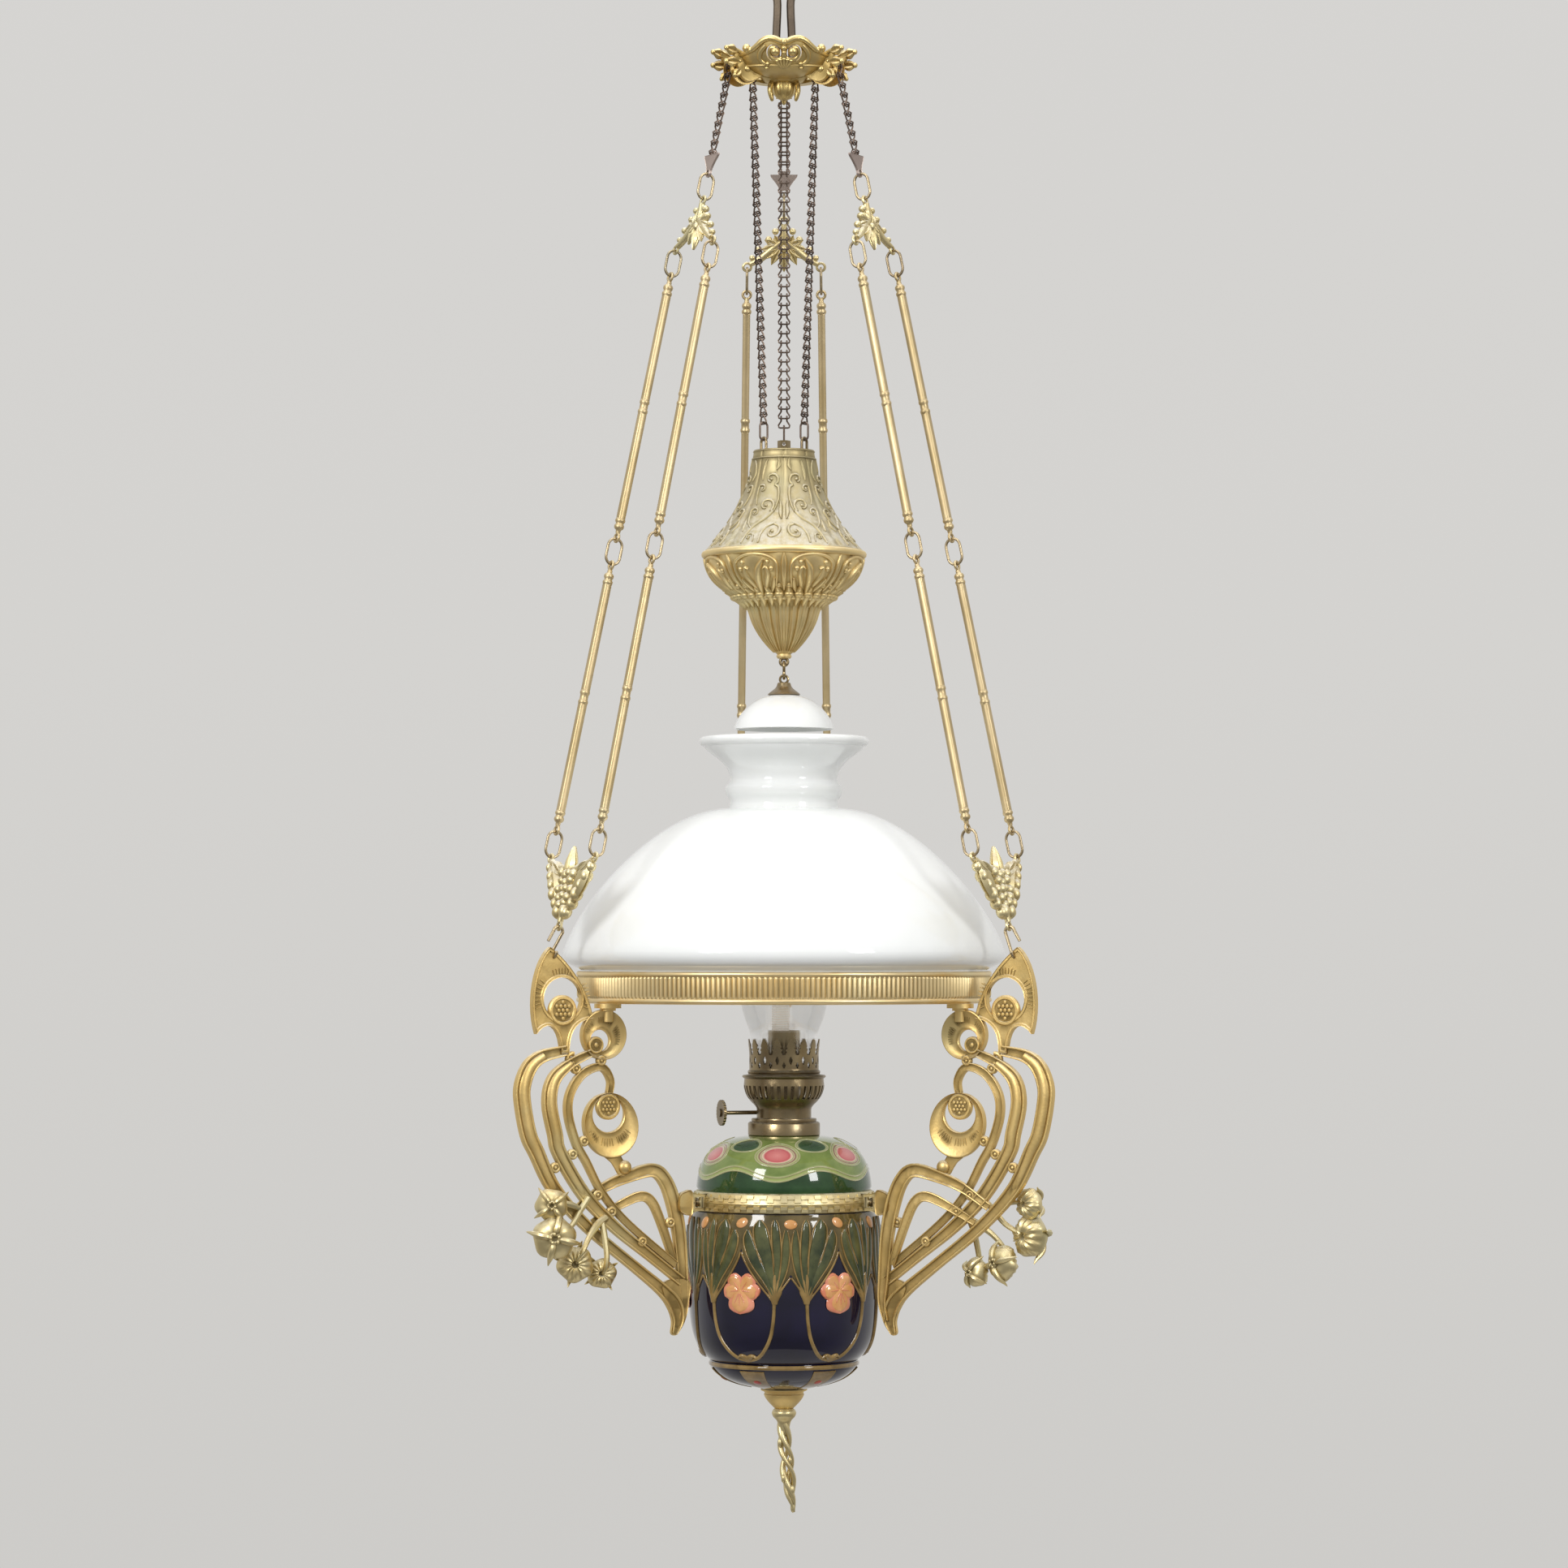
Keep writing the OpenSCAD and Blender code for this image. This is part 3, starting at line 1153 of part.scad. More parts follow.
module finial_cup() color(gilt)
    rotate_extrude() polygon(concat(
        [[bolt_r + run_fit, cup_z], [cup_r, cup_z], [cup_r, cup_z - 2], [cup_r - 3, cup_z - 3]],
        bez([[cup_r - 3, cup_z - 3], [cup_r - 4, cup_z - cup_h * 0.5],
            [9, cup_z - cup_h * 0.8], [7, cup_z - cup_h]], 6),
        [[bolt_r + run_fit, cup_z - cup_h]]
    ));

pull_z = cup_z - cup_h;
module pull_finial() color(gilt) {
    knob = 10;
    knob_h = 11;
    slant = 5;
    bend_z = pull_z - knob_h - pull_h * 0.45;
    tip_z = pull_z - knob_h - pull_h;
    difference() {
        rotate_extrude() polygon(concat(
            [[0, pull_z], [6.5, pull_z]],
            bez([[6.5, pull_z], [knob + 3, pull_z - 2], [knob + 1, pull_z - 7], [4.8, pull_z - knob_h]], 7),
            [[4.2, pull_z - knob_h - 6], [0, pull_z - knob_h - 6]]
        ));
        translate([0, 0, pull_z - 7]) cylinder(h = 10, r = bolt_r + run_fit);
    }
    bar([0, 0, pull_z - knob_h - 2], [slant * 0.4, 0, bend_z], 4);
    translate([slant * 0.4, 0, bend_z]) sphere(6.2);
    translate([slant * 0.1, 2, bend_z + 14]) sphere(5.4);
    translate([slant * 0.7, -2, bend_z - 15]) sphere(5.8);
    bar([slant * 0.4, 0, bend_z], [slant, 0, tip_z + 6], 3.6);
    translate([slant, 0, tip_z + 8]) sphere(4.6);
    bar([slant, 0, tip_z + 8], [slant + 2.5, 0, tip_z], 2.4);
}

hanging_loop();
canopy();
acorn_finial();
pulley_axles();
pulley(back);  // pulley_back
pulley(left);  // pulley_left
pulley(right);  // pulley_right
chain_outer(back);  // chain_outer_back
chain_outer(left);  // chain_outer_left
chain_outer(right);  // chain_outer_right
chain_inner(back);  // chain_inner_back
chain_inner(left);  // chain_inner_left
chain_inner(right);  // chain_inner_right
weight_upper_shell();
weight_lower_shell();
weight_ballast();
weight_tie_rod();
weight_loops();
weight_chain_rings();
bell_hook();
bell_cap();
smoke_bell();
chain_clips();
hanger_rings(back);  // hanger_rings_back
hanger_rings(left);  // hanger_rings_left
hanger_rings(right);  // hanger_rings_right
upper_spreader(back);  // upper_spreader_back
upper_spreader(left);  // upper_spreader_left
upper_spreader(right);  // upper_spreader_right
hanger_rods(back);  // hanger_rods_back
hanger_rods(left);  // hanger_rods_left
hanger_rods(right);  // hanger_rods_right
lower_spreader(back);  // lower_spreader_back
lower_spreader(left);  // lower_spreader_left
lower_spreader(right);  // lower_spreader_right
arm_hooks();
arm(back);  // arm_back
arm(left);  // arm_left
arm(right);  // arm_right
shade_ring();
ring_nuts();
shade();
font_ring();
arm_screws();
font();
vase();
font_collar();
burner_body();
burner_gallery();
wick_tube();
chimney();
wick();
wick_spindle();
wick_knob();
finial_bolt();
finial_cup();
pull_finial();
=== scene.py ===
from math import asin, atan, atan2, cos, degrees, hypot, pi, radians, sin, sqrt, tau

import bmesh
import bpy
from mathutils import Matrix, Vector
from mathutils.bvhtree import BVHTree


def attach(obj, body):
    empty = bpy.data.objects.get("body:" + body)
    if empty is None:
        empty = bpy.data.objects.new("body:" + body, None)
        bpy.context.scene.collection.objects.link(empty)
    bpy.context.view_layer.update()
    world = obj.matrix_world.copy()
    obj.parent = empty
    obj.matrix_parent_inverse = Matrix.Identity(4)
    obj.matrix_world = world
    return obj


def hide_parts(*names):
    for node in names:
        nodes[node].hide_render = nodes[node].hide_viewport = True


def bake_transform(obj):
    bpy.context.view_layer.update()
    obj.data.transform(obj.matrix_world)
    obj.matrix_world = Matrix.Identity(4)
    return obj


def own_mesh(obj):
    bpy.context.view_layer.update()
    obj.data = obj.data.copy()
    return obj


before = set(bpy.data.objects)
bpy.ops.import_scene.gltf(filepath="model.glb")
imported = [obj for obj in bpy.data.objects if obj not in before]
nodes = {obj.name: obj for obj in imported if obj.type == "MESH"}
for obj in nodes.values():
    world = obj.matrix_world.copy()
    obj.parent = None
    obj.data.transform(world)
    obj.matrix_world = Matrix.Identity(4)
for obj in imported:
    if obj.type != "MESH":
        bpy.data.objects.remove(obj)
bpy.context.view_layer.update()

sides = {"back": 90, "left": 210, "right": 330}

MILLIMETRE = 0.001

# Heights and sizes in millimetres, as in the solids
pulley_z = -79
pulley_reach = 39.5
pulley_r = 10.4
seat_z = -817
font_z = -975
belt_z = -460.3
bell_z = -602
bell_top = -575
dome_base = -967
collar_z = -924
burner_z = -913
deck_z = -875
vase_top = -983
vase_low = -1123
cup_z = -1123.2
pull_z = -1139.2


# Curves

def bez(a, b, c, d, n=10):
    """Points of a cubic curve, with as many numbers in each point as its ends have."""
    points = []
    for i in range(n + 1):
        t = i / n
        u = 1 - t
        weights = (u ** 3, 3 * u * u * t, 3 * u * t * t, t ** 3)
        points.append(tuple(sum(w * p[k] for w, p in zip(weights, (a, b, c, d))) for k in range(len(a))))
    return points


def spline(points, n=5, closed=False):
    """A smooth run through the drawn points, n steps from each to the next."""
    count = len(points)
    run = []
    for i in range(count if closed else count - 1):
        if closed:
            a, b, c, d = (points[(i + k) % count] for k in (-1, 0, 1, 2))
        else:
            a, b, c, d = (points[min(max(i + k, 0), count - 1)] for k in (-1, 0, 1, 2))
        for step in range(n):
            t = step / n
            run.append(tuple(
                q + 0.5 * t * (r - p + t * (2 * p - 5 * q + 4 * r - s + t * (3 * (q - r) + s - p)))
                for p, q, r, s in zip(a, b, c, d)))
    if not closed:
        run.append(tuple(points[-1]))
    return run


def curves(start, *arcs):
    """Cubic curves one after another, each with two handles, an end and a count of steps."""
    run = [start]
    for handle, other_handle, end, n in arcs:
        run += bez(run[-1], handle, other_handle, end, n)[1:]
    return run


def set_at(outline, z):
    """A turned outline, moved up to a height."""
    return [(r, z + up) for r, up in outline]


def all_round(n):
    """Equal angles once round."""
    return [tau * i / n for i in range(n)]


def circle(centre, r, n=32):
    """Points round a centre in a plane."""
    return [(centre[0] + r * cos(a), centre[1] + r * sin(a)) for a in all_round(n)]


def curl(centre, r_out, r_in, start, turn, n=14):
    """A spiral from its outer end to its inner end."""
    points = []
    for i in range(n + 1):
        r = r_out + (r_in - r_out) * i / n
        a = start + turn * i / n
        points.append((centre[0] + r * cos(a), centre[1] + r * sin(a)))
    return points


def beside(run, i, closed=False):
    """What stands before and after a place in a run, or the place itself where an open run ends."""
    if closed:
        return run[i - 1], run[(i + 1) % len(run)]
    return run[max(i - 1, 0)], run[min(i + 1, len(run) - 1)]


def radius_at(outline, z):
    """The radius of a turned outline at a height."""
    for (r0, z0), (r1, z1) in zip(outline, outline[1:]):
        if min(z0, z1) <= z <= max(z0, z1) and z0 != z1:
            return r0 + (r1 - r0) * (z - z0) / (z1 - z0)
    return outline[0][0] if z > outline[0][1] else outline[-1][0]


# Shaping with bmesh

def join(bm, part):
    """Moves a shape into a larger one. It is made alone first, as operators are fast on small shapes."""
    mesh = bpy.data.meshes.new("part")
    part.to_mesh(mesh)
    part.free()
    bm.from_mesh(mesh)
    bpy.data.meshes.remove(mesh)


def loft(bm, section, stations, closed=False):
    """Extrudes a closed section of (x, y) pairs through each station's matrix in turn."""
    part = bmesh.new()
    first = [part.verts.new(stations[0] @ Vector((x, y, 0))) for x, y in section]
    edges = [part.edges.new((first[i - 1], first[i])) for i in range(len(first))]
    start_edges = edges
    for before, after in zip(stations, stations[1:]):
        made = bmesh.ops.extrude_edge_only(part, edges=edges)["geom"]
        verts = [g for g in made if isinstance(g, bmesh.types.BMVert)]
        bmesh.ops.transform(part, matrix=after @ before.inverted(), verts=verts)
        fresh = set(verts)
        edges = [g for g in made if isinstance(g, bmesh.types.BMEdge) and set(g.verts) <= fresh]
    if closed:
        bmesh.ops.bridge_loops(part, edges=start_edges + edges)
    else:
        bmesh.ops.contextual_create(part, geom=start_edges)
        bmesh.ops.contextual_create(part, geom=edges)
    join(bm, part)


def station(at, across, up, along):
    """A matrix from its place and its three directions."""
    return Matrix((
        (across[0], up[0], along[0], at[0]),
        (across[1], up[1], along[1], at[1]),
        (across[2], up[2], along[2], at[2]),
        (0, 0, 0, 1)))


def wire(bm, path, r, ring=8, closed=False):
    """A round wire along points in space, of one radius or one for each point."""
    points = [Vector(p) for p in path]
    radii = r if isinstance(r, list) else [r] * len(points)
    section = circle((0, 0), 1, ring)
    stations = []
    across = None
    for i, p in enumerate(points):
        before, after = beside(points, i, closed)
        along = (after - before).normalized()
        if across is None:
            across = along.orthogonal()
        across = (across - along * across.dot(along)).normalized()
        up = along.cross(across)
        stations.append(station(p, across * radii[i], up * radii[i], along))
    loft(bm, section, stations, closed)


def both_faces(half):
    """A bar's whole section, from the half of it that one face shows."""
    return half + [(x, -y) for x, y in reversed(half) if y]


CHANNEL = both_faces([
    (-1, -0.5), (-0.95, -0.92), (-0.84, -1), (-0.72, -0.9), (-0.62, -0.56), (0, -0.36), (0.62, -0.56),
    (0.72, -0.9), (0.84, -1), (0.95, -0.92), (1, -0.5)])
RIMMED = both_faces([
    (-1, -0.5), (-0.97, -0.88), (-0.88, -1), (-0.74, -0.98), (-0.64, -0.82), (-0.58, -0.4), (-0.25, -0.28),
    (0.25, -0.28), (0.58, -0.4), (0.64, -0.82), (0.74, -0.98), (0.88, -1), (0.97, -0.88), (1, -0.5)])
LENS = both_faces([
    (-1, 0), (-0.86, -0.5), (-0.6, -0.8), (-0.25, -0.98), (0.15, -0.98), (0.5, -0.82), (0.85, -0.45),
    (1, 0)])
DISH = both_faces([
    (-1, -0.6), (-0.96, -0.95), (-0.88, -1), (-0.8, -0.9), (-0.4, -0.56), (0.1, -0.36), (0.6, -0.36),
    (0.86, -0.52), (0.93, -0.72), (1, -0.5)])
DOME = [(-1, -0.6), (-0.92, 0.1), (-0.7, 0.6), (-0.35, 0.9), (0, 1), (0.35, 0.9), (0.7, 0.6), (0.92, 0.1),
        (1, -0.6)]
ROUND = circle((0, 0), 1, 8)


def edges_of(path):
    """The two edges of a band of (x, z, width) points."""
    lefts, rights = [], []
    for i, (x, z, w, *_) in enumerate(path):
        a, b = beside(path, i)
        dx, dz = b[0] - a[0], b[1] - a[1]
        size = hypot(dx, dz)
        lefts.append((x - dz / size * w / 2, z + dx / size * w / 2))
        rights.append((x + dz / size * w / 2, z - dx / size * w / 2))
    return lefts, rights


def between(bm, lefts, rights, section, half_t, y=0.0, closed=False):
    """Casts a bar between two edges drawn in the X-Z plane."""
    stations = []
    thick = half_t if isinstance(half_t, list) else [half_t] * len(lefts)
    for left, right, t in zip(lefts, rights, thick):
        a, b = Vector((left[0], y, left[1])), Vector((right[0], y, right[1]))
        across = (b - a) / 2
        along = Vector((-across.z, 0, across.x)).normalized()
        stations.append(station((a + b) / 2, across, Vector((0, t, 0)), along))
    loft(bm, section, stations, closed)


def band(bm, drawn, section, half_t, y=0.0, n=5):
    """Casts a bar along drawn (x, z, width) points, of one thickness or one for each point."""
    thick = half_t if isinstance(half_t, list) else [half_t] * len(drawn)
    run = spline([(*p, t) for p, t in zip(drawn, thick)], n)
    lefts, rights = edges_of(run)
    between(bm, lefts, rights, section, [p[3] for p in run], y)


def plate(bm, loops, half_t, rim=0.0, sink=0.0, soft=0.0):
    """A flat casting in the X-Z plane, with a raised rim round outline and openings, alike on both faces."""
    part = bmesh.new()
    drawn = []
    for loop in loops:
        verts = [part.verts.new((x, -half_t, z)) for x, z in loop]
        drawn += [part.edges.new((verts[i - 1], verts[i])) for i in range(len(verts))]
    filled = bmesh.ops.triangle_fill(part, use_beauty=True, edges=drawn, normal=(0, -1, 0))["geom"]
    faces = [g for g in filled if isinstance(g, bmesh.types.BMFace)]
    every = list(faces)

    def inset(width):
        made = bmesh.ops.inset_region(part, faces=faces, thickness=width, depth=0, use_boundary=True,
                                      use_even_offset=True)
        every.extend(made["faces"])

    if soft:
        inset(soft)
        outer = [e for e in drawn if e.is_valid]
        bmesh.ops.translate(part, vec=(0, soft, 0), verts=list({v for e in outer for v in e.verts}))
    if rim:
        inset(rim)
        inset(sink)
        bmesh.ops.translate(part, vec=(0, sink, 0), verts=list({v for f in faces for v in f.verts}))
    border = [e for e in dict.fromkeys(e for f in every for e in f.edges) if e.is_boundary]
    made = bmesh.ops.extrude_edge_only(part, edges=border)["geom"]
    for v in [g for g in made if isinstance(g, bmesh.types.BMVert)]:
        v.co.y = 0
    bmesh.ops.mirror(part, geom=[*part.verts, *part.edges, *part.faces], axis="Y", merge_dist=0.001)
    join(bm, part)


def facing(way):
    """Turns what faces +Z to another direction."""
    return Vector((0, 0, 1)).rotation_difference(Vector(way)).to_matrix().to_4x4()


def lathe(bm, outline, steps=96, closed=False, axis=(0, 0, 1), at=(0, 0, 0)):
    """Turns an outline of (radius, height) pairs round an axis."""
    place = Matrix.Translation(at) @ facing(axis)
    part = bmesh.new()
    verts = [part.verts.new(place @ Vector((r, 0, z))) for r, z in outline]
    edges = [part.edges.new(pair) for pair in zip(verts, verts[1:])]
    if closed:
        edges.append(part.edges.new((verts[-1], verts[0])))
    bmesh.ops.spin(part, geom=verts + edges, axis=axis, cent=at, dvec=(0, 0, 0), angle=tau, steps=steps,
                   use_merge=True)
    join(bm, part)


def hoop(bm, r, z, thick, n, ring):
    """A round wire that lies level round the axis."""
    wire(bm, [(x, y, z) for x, y in circle((0, 0), r, n)], thick, ring, closed=True)


def bead(bm, at, r, stretch=(1, 1, 1), u=8, v=6):
    """A small cast bead."""
    part = bmesh.new()
    place = Matrix.Translation(at) @ Matrix.Diagonal((*stretch, 1))
    bmesh.ops.create_uvsphere(part, u_segments=u, v_segments=v, radius=r, matrix=place)
    join(bm, part)


def shell(outline, wall):
    """A closed outline: the drawn one and, behind it, the same moved inwards by the wall."""
    inner = []
    for i, (r, z) in enumerate(outline):
        a, b = beside(outline, i)
        dr, dz = b[0] - a[0], b[1] - a[1]
        size = hypot(dr, dz)
        inner.append((max(r + dz / size * wall, 0.2), z - dr / size * wall))
    return outline + inner[::-1]


def stamp(bm, mesh, place):
    """Adds a placed copy of a mesh."""
    copy = mesh.copy()
    copy.transform(place)
    bm.from_mesh(copy)
    bpy.data.meshes.remove(copy)


def on_skin(outline, angle, z, lift=0.0):
    """A point on a turned surface, and the direction out of it."""
    r = radius_at(outline, z)
    slope = (radius_at(outline, z + 0.5) - radius_at(outline, z - 0.5))
    out = Vector((cos(angle), sin(angle), -slope)).normalized()
    return Vector((r * cos(angle), r * sin(angle), z)) + out * lift, out


def vine(bm, outline, drawn, section, height, n=5, closed=False, lift=0.0):
    """A raised line or leaf on a turned surface, along drawn (degrees, height, width) points."""
    run = spline(drawn, n, closed)
    spots = [on_skin(outline, radians(a), z, lift) for a, z, _ in run]
    stations = []
    for i, (p, out) in enumerate(spots):
        before, after = beside(spots, i, closed)
        along = after[0] - before[0]
        across = along.cross(out).normalized()
        stations.append(station(p, across * run[i][2] / 2, out * height, along.normalized()))
    loft(bm, section, stations, closed)


def measure_recess_shade(bm, reach):
    """Keeps at each vertex how closely the casting stands round it, from 0 in the open to 1 deep in a recess,
    as a measure for the painted shade in the recesses.
    """
    rays = 6
    tree = BVHTree.FromBMesh(bm)
    found = []
    for i, v in enumerate(bm.verts):
        side = v.normal.orthogonal().normalized()
        other = v.normal.cross(side)
        filled = 0
        for k in range(rays):
            turn = i + k * tau / rays
            way = v.normal * 0.3 + side * cos(turn) * 0.95 + other * sin(turn) * 0.95
            far = tree.ray_cast(v.co + v.normal * 0.06, way, reach)[3]
            if far is not None:
                filled += 1 - (far / reach) ** 2
        found.append(filled / rays)
    # The measure is kept in the vertex attribute "hollow", which the metal finishes read for their painted
    # shade.
    layer = bm.verts.layers.float.get("hollow") or bm.verts.layers.float.new("hollow")
    for i, v in enumerate(bm.verts):
        v[layer] = found[i]


def as_mesh(bm, angle=35, recess_shade_reach=0.0):
    """Closes seams, points the faces outwards and marks the sharp edges and, on a casting, how far each point
    lies in a recess, for painted shade.
    """
    bmesh.ops.remove_doubles(bm, verts=bm.verts, dist=0.0005)
    bmesh.ops.recalc_face_normals(bm, faces=bm.faces)
    if recess_shade_reach:
        measure_recess_shade(bm, recess_shade_reach)
    limit = radians(angle)
    for f in bm.faces:
        f.smooth = True
    for e in bm.edges:
        e.smooth = not (e.is_manifold and e.calc_face_angle(0) > limit)
    mesh = bpy.data.meshes.new("shape")
    bm.to_mesh(mesh)
    bm.free()
    return mesh


# The reach, in millimetres, of the search for recesses that sets the painted shade on a casting; 0 for none.
def shaped(angle=35, recess_shade_reach=0.0):
    """Hands a function an empty shape to draw in, and makes a mesh of what it drew."""
    def wrap(draw):
        def make(*given):
            bm = bmesh.new()
            draw(bm, *given)
            return as_mesh(bm, angle, recess_shade_reach)
        return make
    return wrap


def paint(mesh, finish):
    """Gives a mesh one finish."""
    mesh.materials.clear()
    mesh.materials.append(finish)


def piece(mesh, name, body, finish, stands_for=(), place=None):
    """Makes a finished piece of a mesh drawn in millimetres."""
    mesh.transform(Matrix.Scale(MILLIMETRE, 4) @ (place or Matrix.Identity(4)))
    mesh.name = name
    obj = bpy.data.objects.new(name, mesh)
    bpy.context.scene.collection.objects.link(obj)
    paint(mesh, finish)
    if body:
        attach(obj, body)
    if stands_for:
        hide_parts(*stands_for)
    return obj


def turned_to(angle):
    """Turns what is drawn along +X to another direction round the axis, in degrees."""
    return Matrix.Rotation(radians(angle), 4, "Z")


# Finishes

def nodes_of(name):
    """A new finish with its shader and the piece's own coordinates."""
    finish = bpy.data.materials.new(name)
    finish.use_nodes = True
    shaders = finish.node_tree.nodes
    coords = shaders.new("ShaderNodeTexCoord")
    return finish, shaders["Principled BSDF"], coords.outputs["Object"]


def new_node(socket, kind):
    """A new node in the tree that a socket belongs to."""
    return socket.id_data.nodes.new(kind)


def feed(node, values):
    """Sets plain values on a node's own sockets, and links the others to them."""
    for socket, value in values.items():
        if isinstance(value, bpy.types.NodeSocket):
            node.id_data.links.new(value, node.inputs[socket])
        else:
            node.inputs[socket].default_value = value


def split(vector):
    """A vector's three parts."""
    node = new_node(vector, "ShaderNodeSeparateXYZ")
    feed(node, {0: vector})
    return node.outputs


def noise(at, scale, detail=4.0, rough=0.55):
    """A cloudy pattern."""
    node = new_node(at, "ShaderNodeTexNoise")
    feed(node, {"Vector": at, "Scale": scale, "Detail": detail, "Roughness": rough})
    return node.outputs["Fac"]


def ramp(fac, stops):
    """Colours along a value."""
    node = new_node(fac, "ShaderNodeValToRGB")
    bar = node.color_ramp
    for i, (at, colour) in enumerate(stops):
        stop = bar.elements[i] if i < 2 else bar.elements.new(at)
        stop.position = at
        stop.color = (*colour, 1)
    feed(node, {"Fac": fac})
    return node.outputs["Color"]


def grey(fac, low, high, start=0.0, end=1.0):
    """A value moved from one range to another."""
    node = new_node(fac, "ShaderNodeMapRange")
    feed(node, {"Value": fac, "From Min": start, "From Max": end, "To Min": low, "To Max": high})
    return node.outputs["Result"]


def sums(kind, a, b=0.0):
    """One step of arithmetic on one value or two, the second perhaps a plain number."""
    node = new_node(a, "ShaderNodeMath")
    node.operation = kind
    feed(node, {0: a, 1: b})
    return node.outputs[0]


def blend_colours(fac, a, b):
    """Two colours mixed by a value, the second perhaps a plain one."""
    node = new_node(fac, "ShaderNodeMix")
    node.data_type = "RGBA"
    feed(node, {"Factor": fac, 6: a, 7: (*b, 1) if isinstance(b, tuple) else b})
    return node.outputs[2]


def bump(shader, height, strength, distance):
    """Fine unevenness in a finish."""
    node = new_node(height, "ShaderNodeBump")
    feed(node, {"Height": height, "Strength": strength, "Distance": distance})
    feed(shader, {"Normal": node.outputs["Normal"]})


def facing_up(at):
    """How far a surface faces upwards."""
    geometry = new_node(at, "ShaderNodeNewGeometry")
    return split(geometry.outputs["Normal"])["Z"]


def metal(name, light, dark, green, dust, dust_amount, rough, grain, deep=None):
    """A metal with tarnish in patches, a green cast here and there, painted shade darkening its recesses and
    pale dust on what faces upwards.
    """
    finish, shader, at = nodes_of(name)
    patches = noise(at, 26, 5)
    colour = ramp(patches, [(0.3, dark), (0.62, light)])
    greens = grey(noise(at, 17, 3), 0, 0.55, 0.56, 0.72)
    colour = blend_colours(greens, colour, green)
    # Painted shade: darker where the casting closes in round a point, standing also for the tarnish that
    # gathers in the recesses; the last argument gives its colour.
    recess_shade_attribute = new_node(at, "ShaderNodeAttribute")
    recess_shade_attribute.attribute_name = "hollow"
    recess_shade = grey(recess_shade_attribute.outputs["Fac"], 0, 0.8, 0.12, 0.85)
    colour = blend_colours(recess_shade, colour, deep or tuple(0.24 * c for c in dark))
    up = grey(facing_up(at), 0, 1, 0.25, 0.95)
    specks = grey(noise(at, 160, 6, 0.7), 0.15, 1, 0.38, 0.62)
    dusty = sums("MULTIPLY", sums("MULTIPLY", up, specks), dust_amount)
    colour = blend_colours(dusty, colour, dust)
    spread = sums("ADD", grey(noise(at, 60, 4), rough - 0.06, rough + 0.1),
                  grey(sums("MAXIMUM", dusty, recess_shade), 0, 0.3))
    feed(shader, {
        "Base Color": colour, "Metallic": grey(dusty, 1.0, 0.1, 0.0, 0.9), "Roughness": spread})
    bump(shader, noise(at, 420, 3), grain, 0.0006)
    return finish


# The last colour, in the finishes that have one, is the painted shade in the recesses.
gilt = metal("gilt_casting", (0.87, 0.645, 0.275), (0.74, 0.515, 0.185), (0.76, 0.68, 0.37),
             (0.78, 0.73, 0.58), 0.9, 0.43, 0.2)
pale_gilt = metal("pale_gilt", (0.78, 0.67, 0.38), (0.68, 0.54, 0.26), (0.68, 0.67, 0.42),
                  (0.78, 0.75, 0.6), 0.7, 0.38, 0.1)
rod_gilt = metal("rod_gilt", (0.68, 0.545, 0.32), (0.55, 0.425, 0.22), (0.62, 0.54, 0.34),
                 (0.74, 0.68, 0.56), 0.6, 0.44, 0.1)
belly_gilt = metal("belly_gilt", (0.76, 0.59, 0.27), (0.62, 0.46, 0.18), (0.64, 0.57, 0.28),
                   (0.74, 0.69, 0.52), 0.6, 0.36, 0.1, (0.30, 0.22, 0.08))
dusty_gilt = metal("dusty_gilt", (0.80, 0.69, 0.40), (0.64, 0.51, 0.25), (0.66, 0.62, 0.38),
                   (0.80, 0.78, 0.70), 1.2, 0.40, 0.15, (0.36, 0.29, 0.14))
weight_gilt = metal("weight_gilt", (0.52, 0.44, 0.25), (0.43, 0.35, 0.18), (0.44, 0.43, 0.25),
                    (0.66, 0.63, 0.55), 1.3, 0.46, 0.15, (0.32, 0.27, 0.15))
bowl_gilt = metal("bowl_gilt", (0.93, 0.74, 0.38), (0.80, 0.61, 0.28), (0.80, 0.72, 0.40),
                  (0.78, 0.73, 0.58), 0.6, 0.42, 0.1, (0.46, 0.35, 0.15))
ring_gilt = metal("ring_gilt", (0.96, 0.77, 0.43), (0.86, 0.66, 0.33), (0.86, 0.75, 0.46),
                  (0.78, 0.72, 0.60), 0.5, 0.38, 0.1)
old_brass = metal("old_brass", (0.38, 0.29, 0.155), (0.18, 0.135, 0.08), (0.27, 0.23, 0.15),
                  (0.52, 0.48, 0.42), 0.5, 0.27, 0.12)
iron = metal("forged_iron", (0.24, 0.19, 0.14), (0.12, 0.095, 0.075), (0.2, 0.17, 0.12),
             (0.4, 0.36, 0.3), 0.4, 0.5, 0.4)
chain_metal = metal("dark_chain", (0.24, 0.18, 0.145), (0.10, 0.075, 0.062), (0.26, 0.19, 0.14),
                    (0.36, 0.3, 0.26), 0.35, 0.4, 0.15)
clip_grey = metal("clip_grey", (0.52, 0.43, 0.38), (0.35, 0.28, 0.25), (0.5, 0.44, 0.36),
                  (0.62, 0.56, 0.5), 0.4, 0.45, 0.15)
ring_wire_finish = metal("ring_wire", (0.52, 0.42, 0.26), (0.32, 0.25, 0.16), (0.42, 0.38, 0.26),
                         (0.6, 0.55, 0.46), 0.4, 0.35, 0.12)


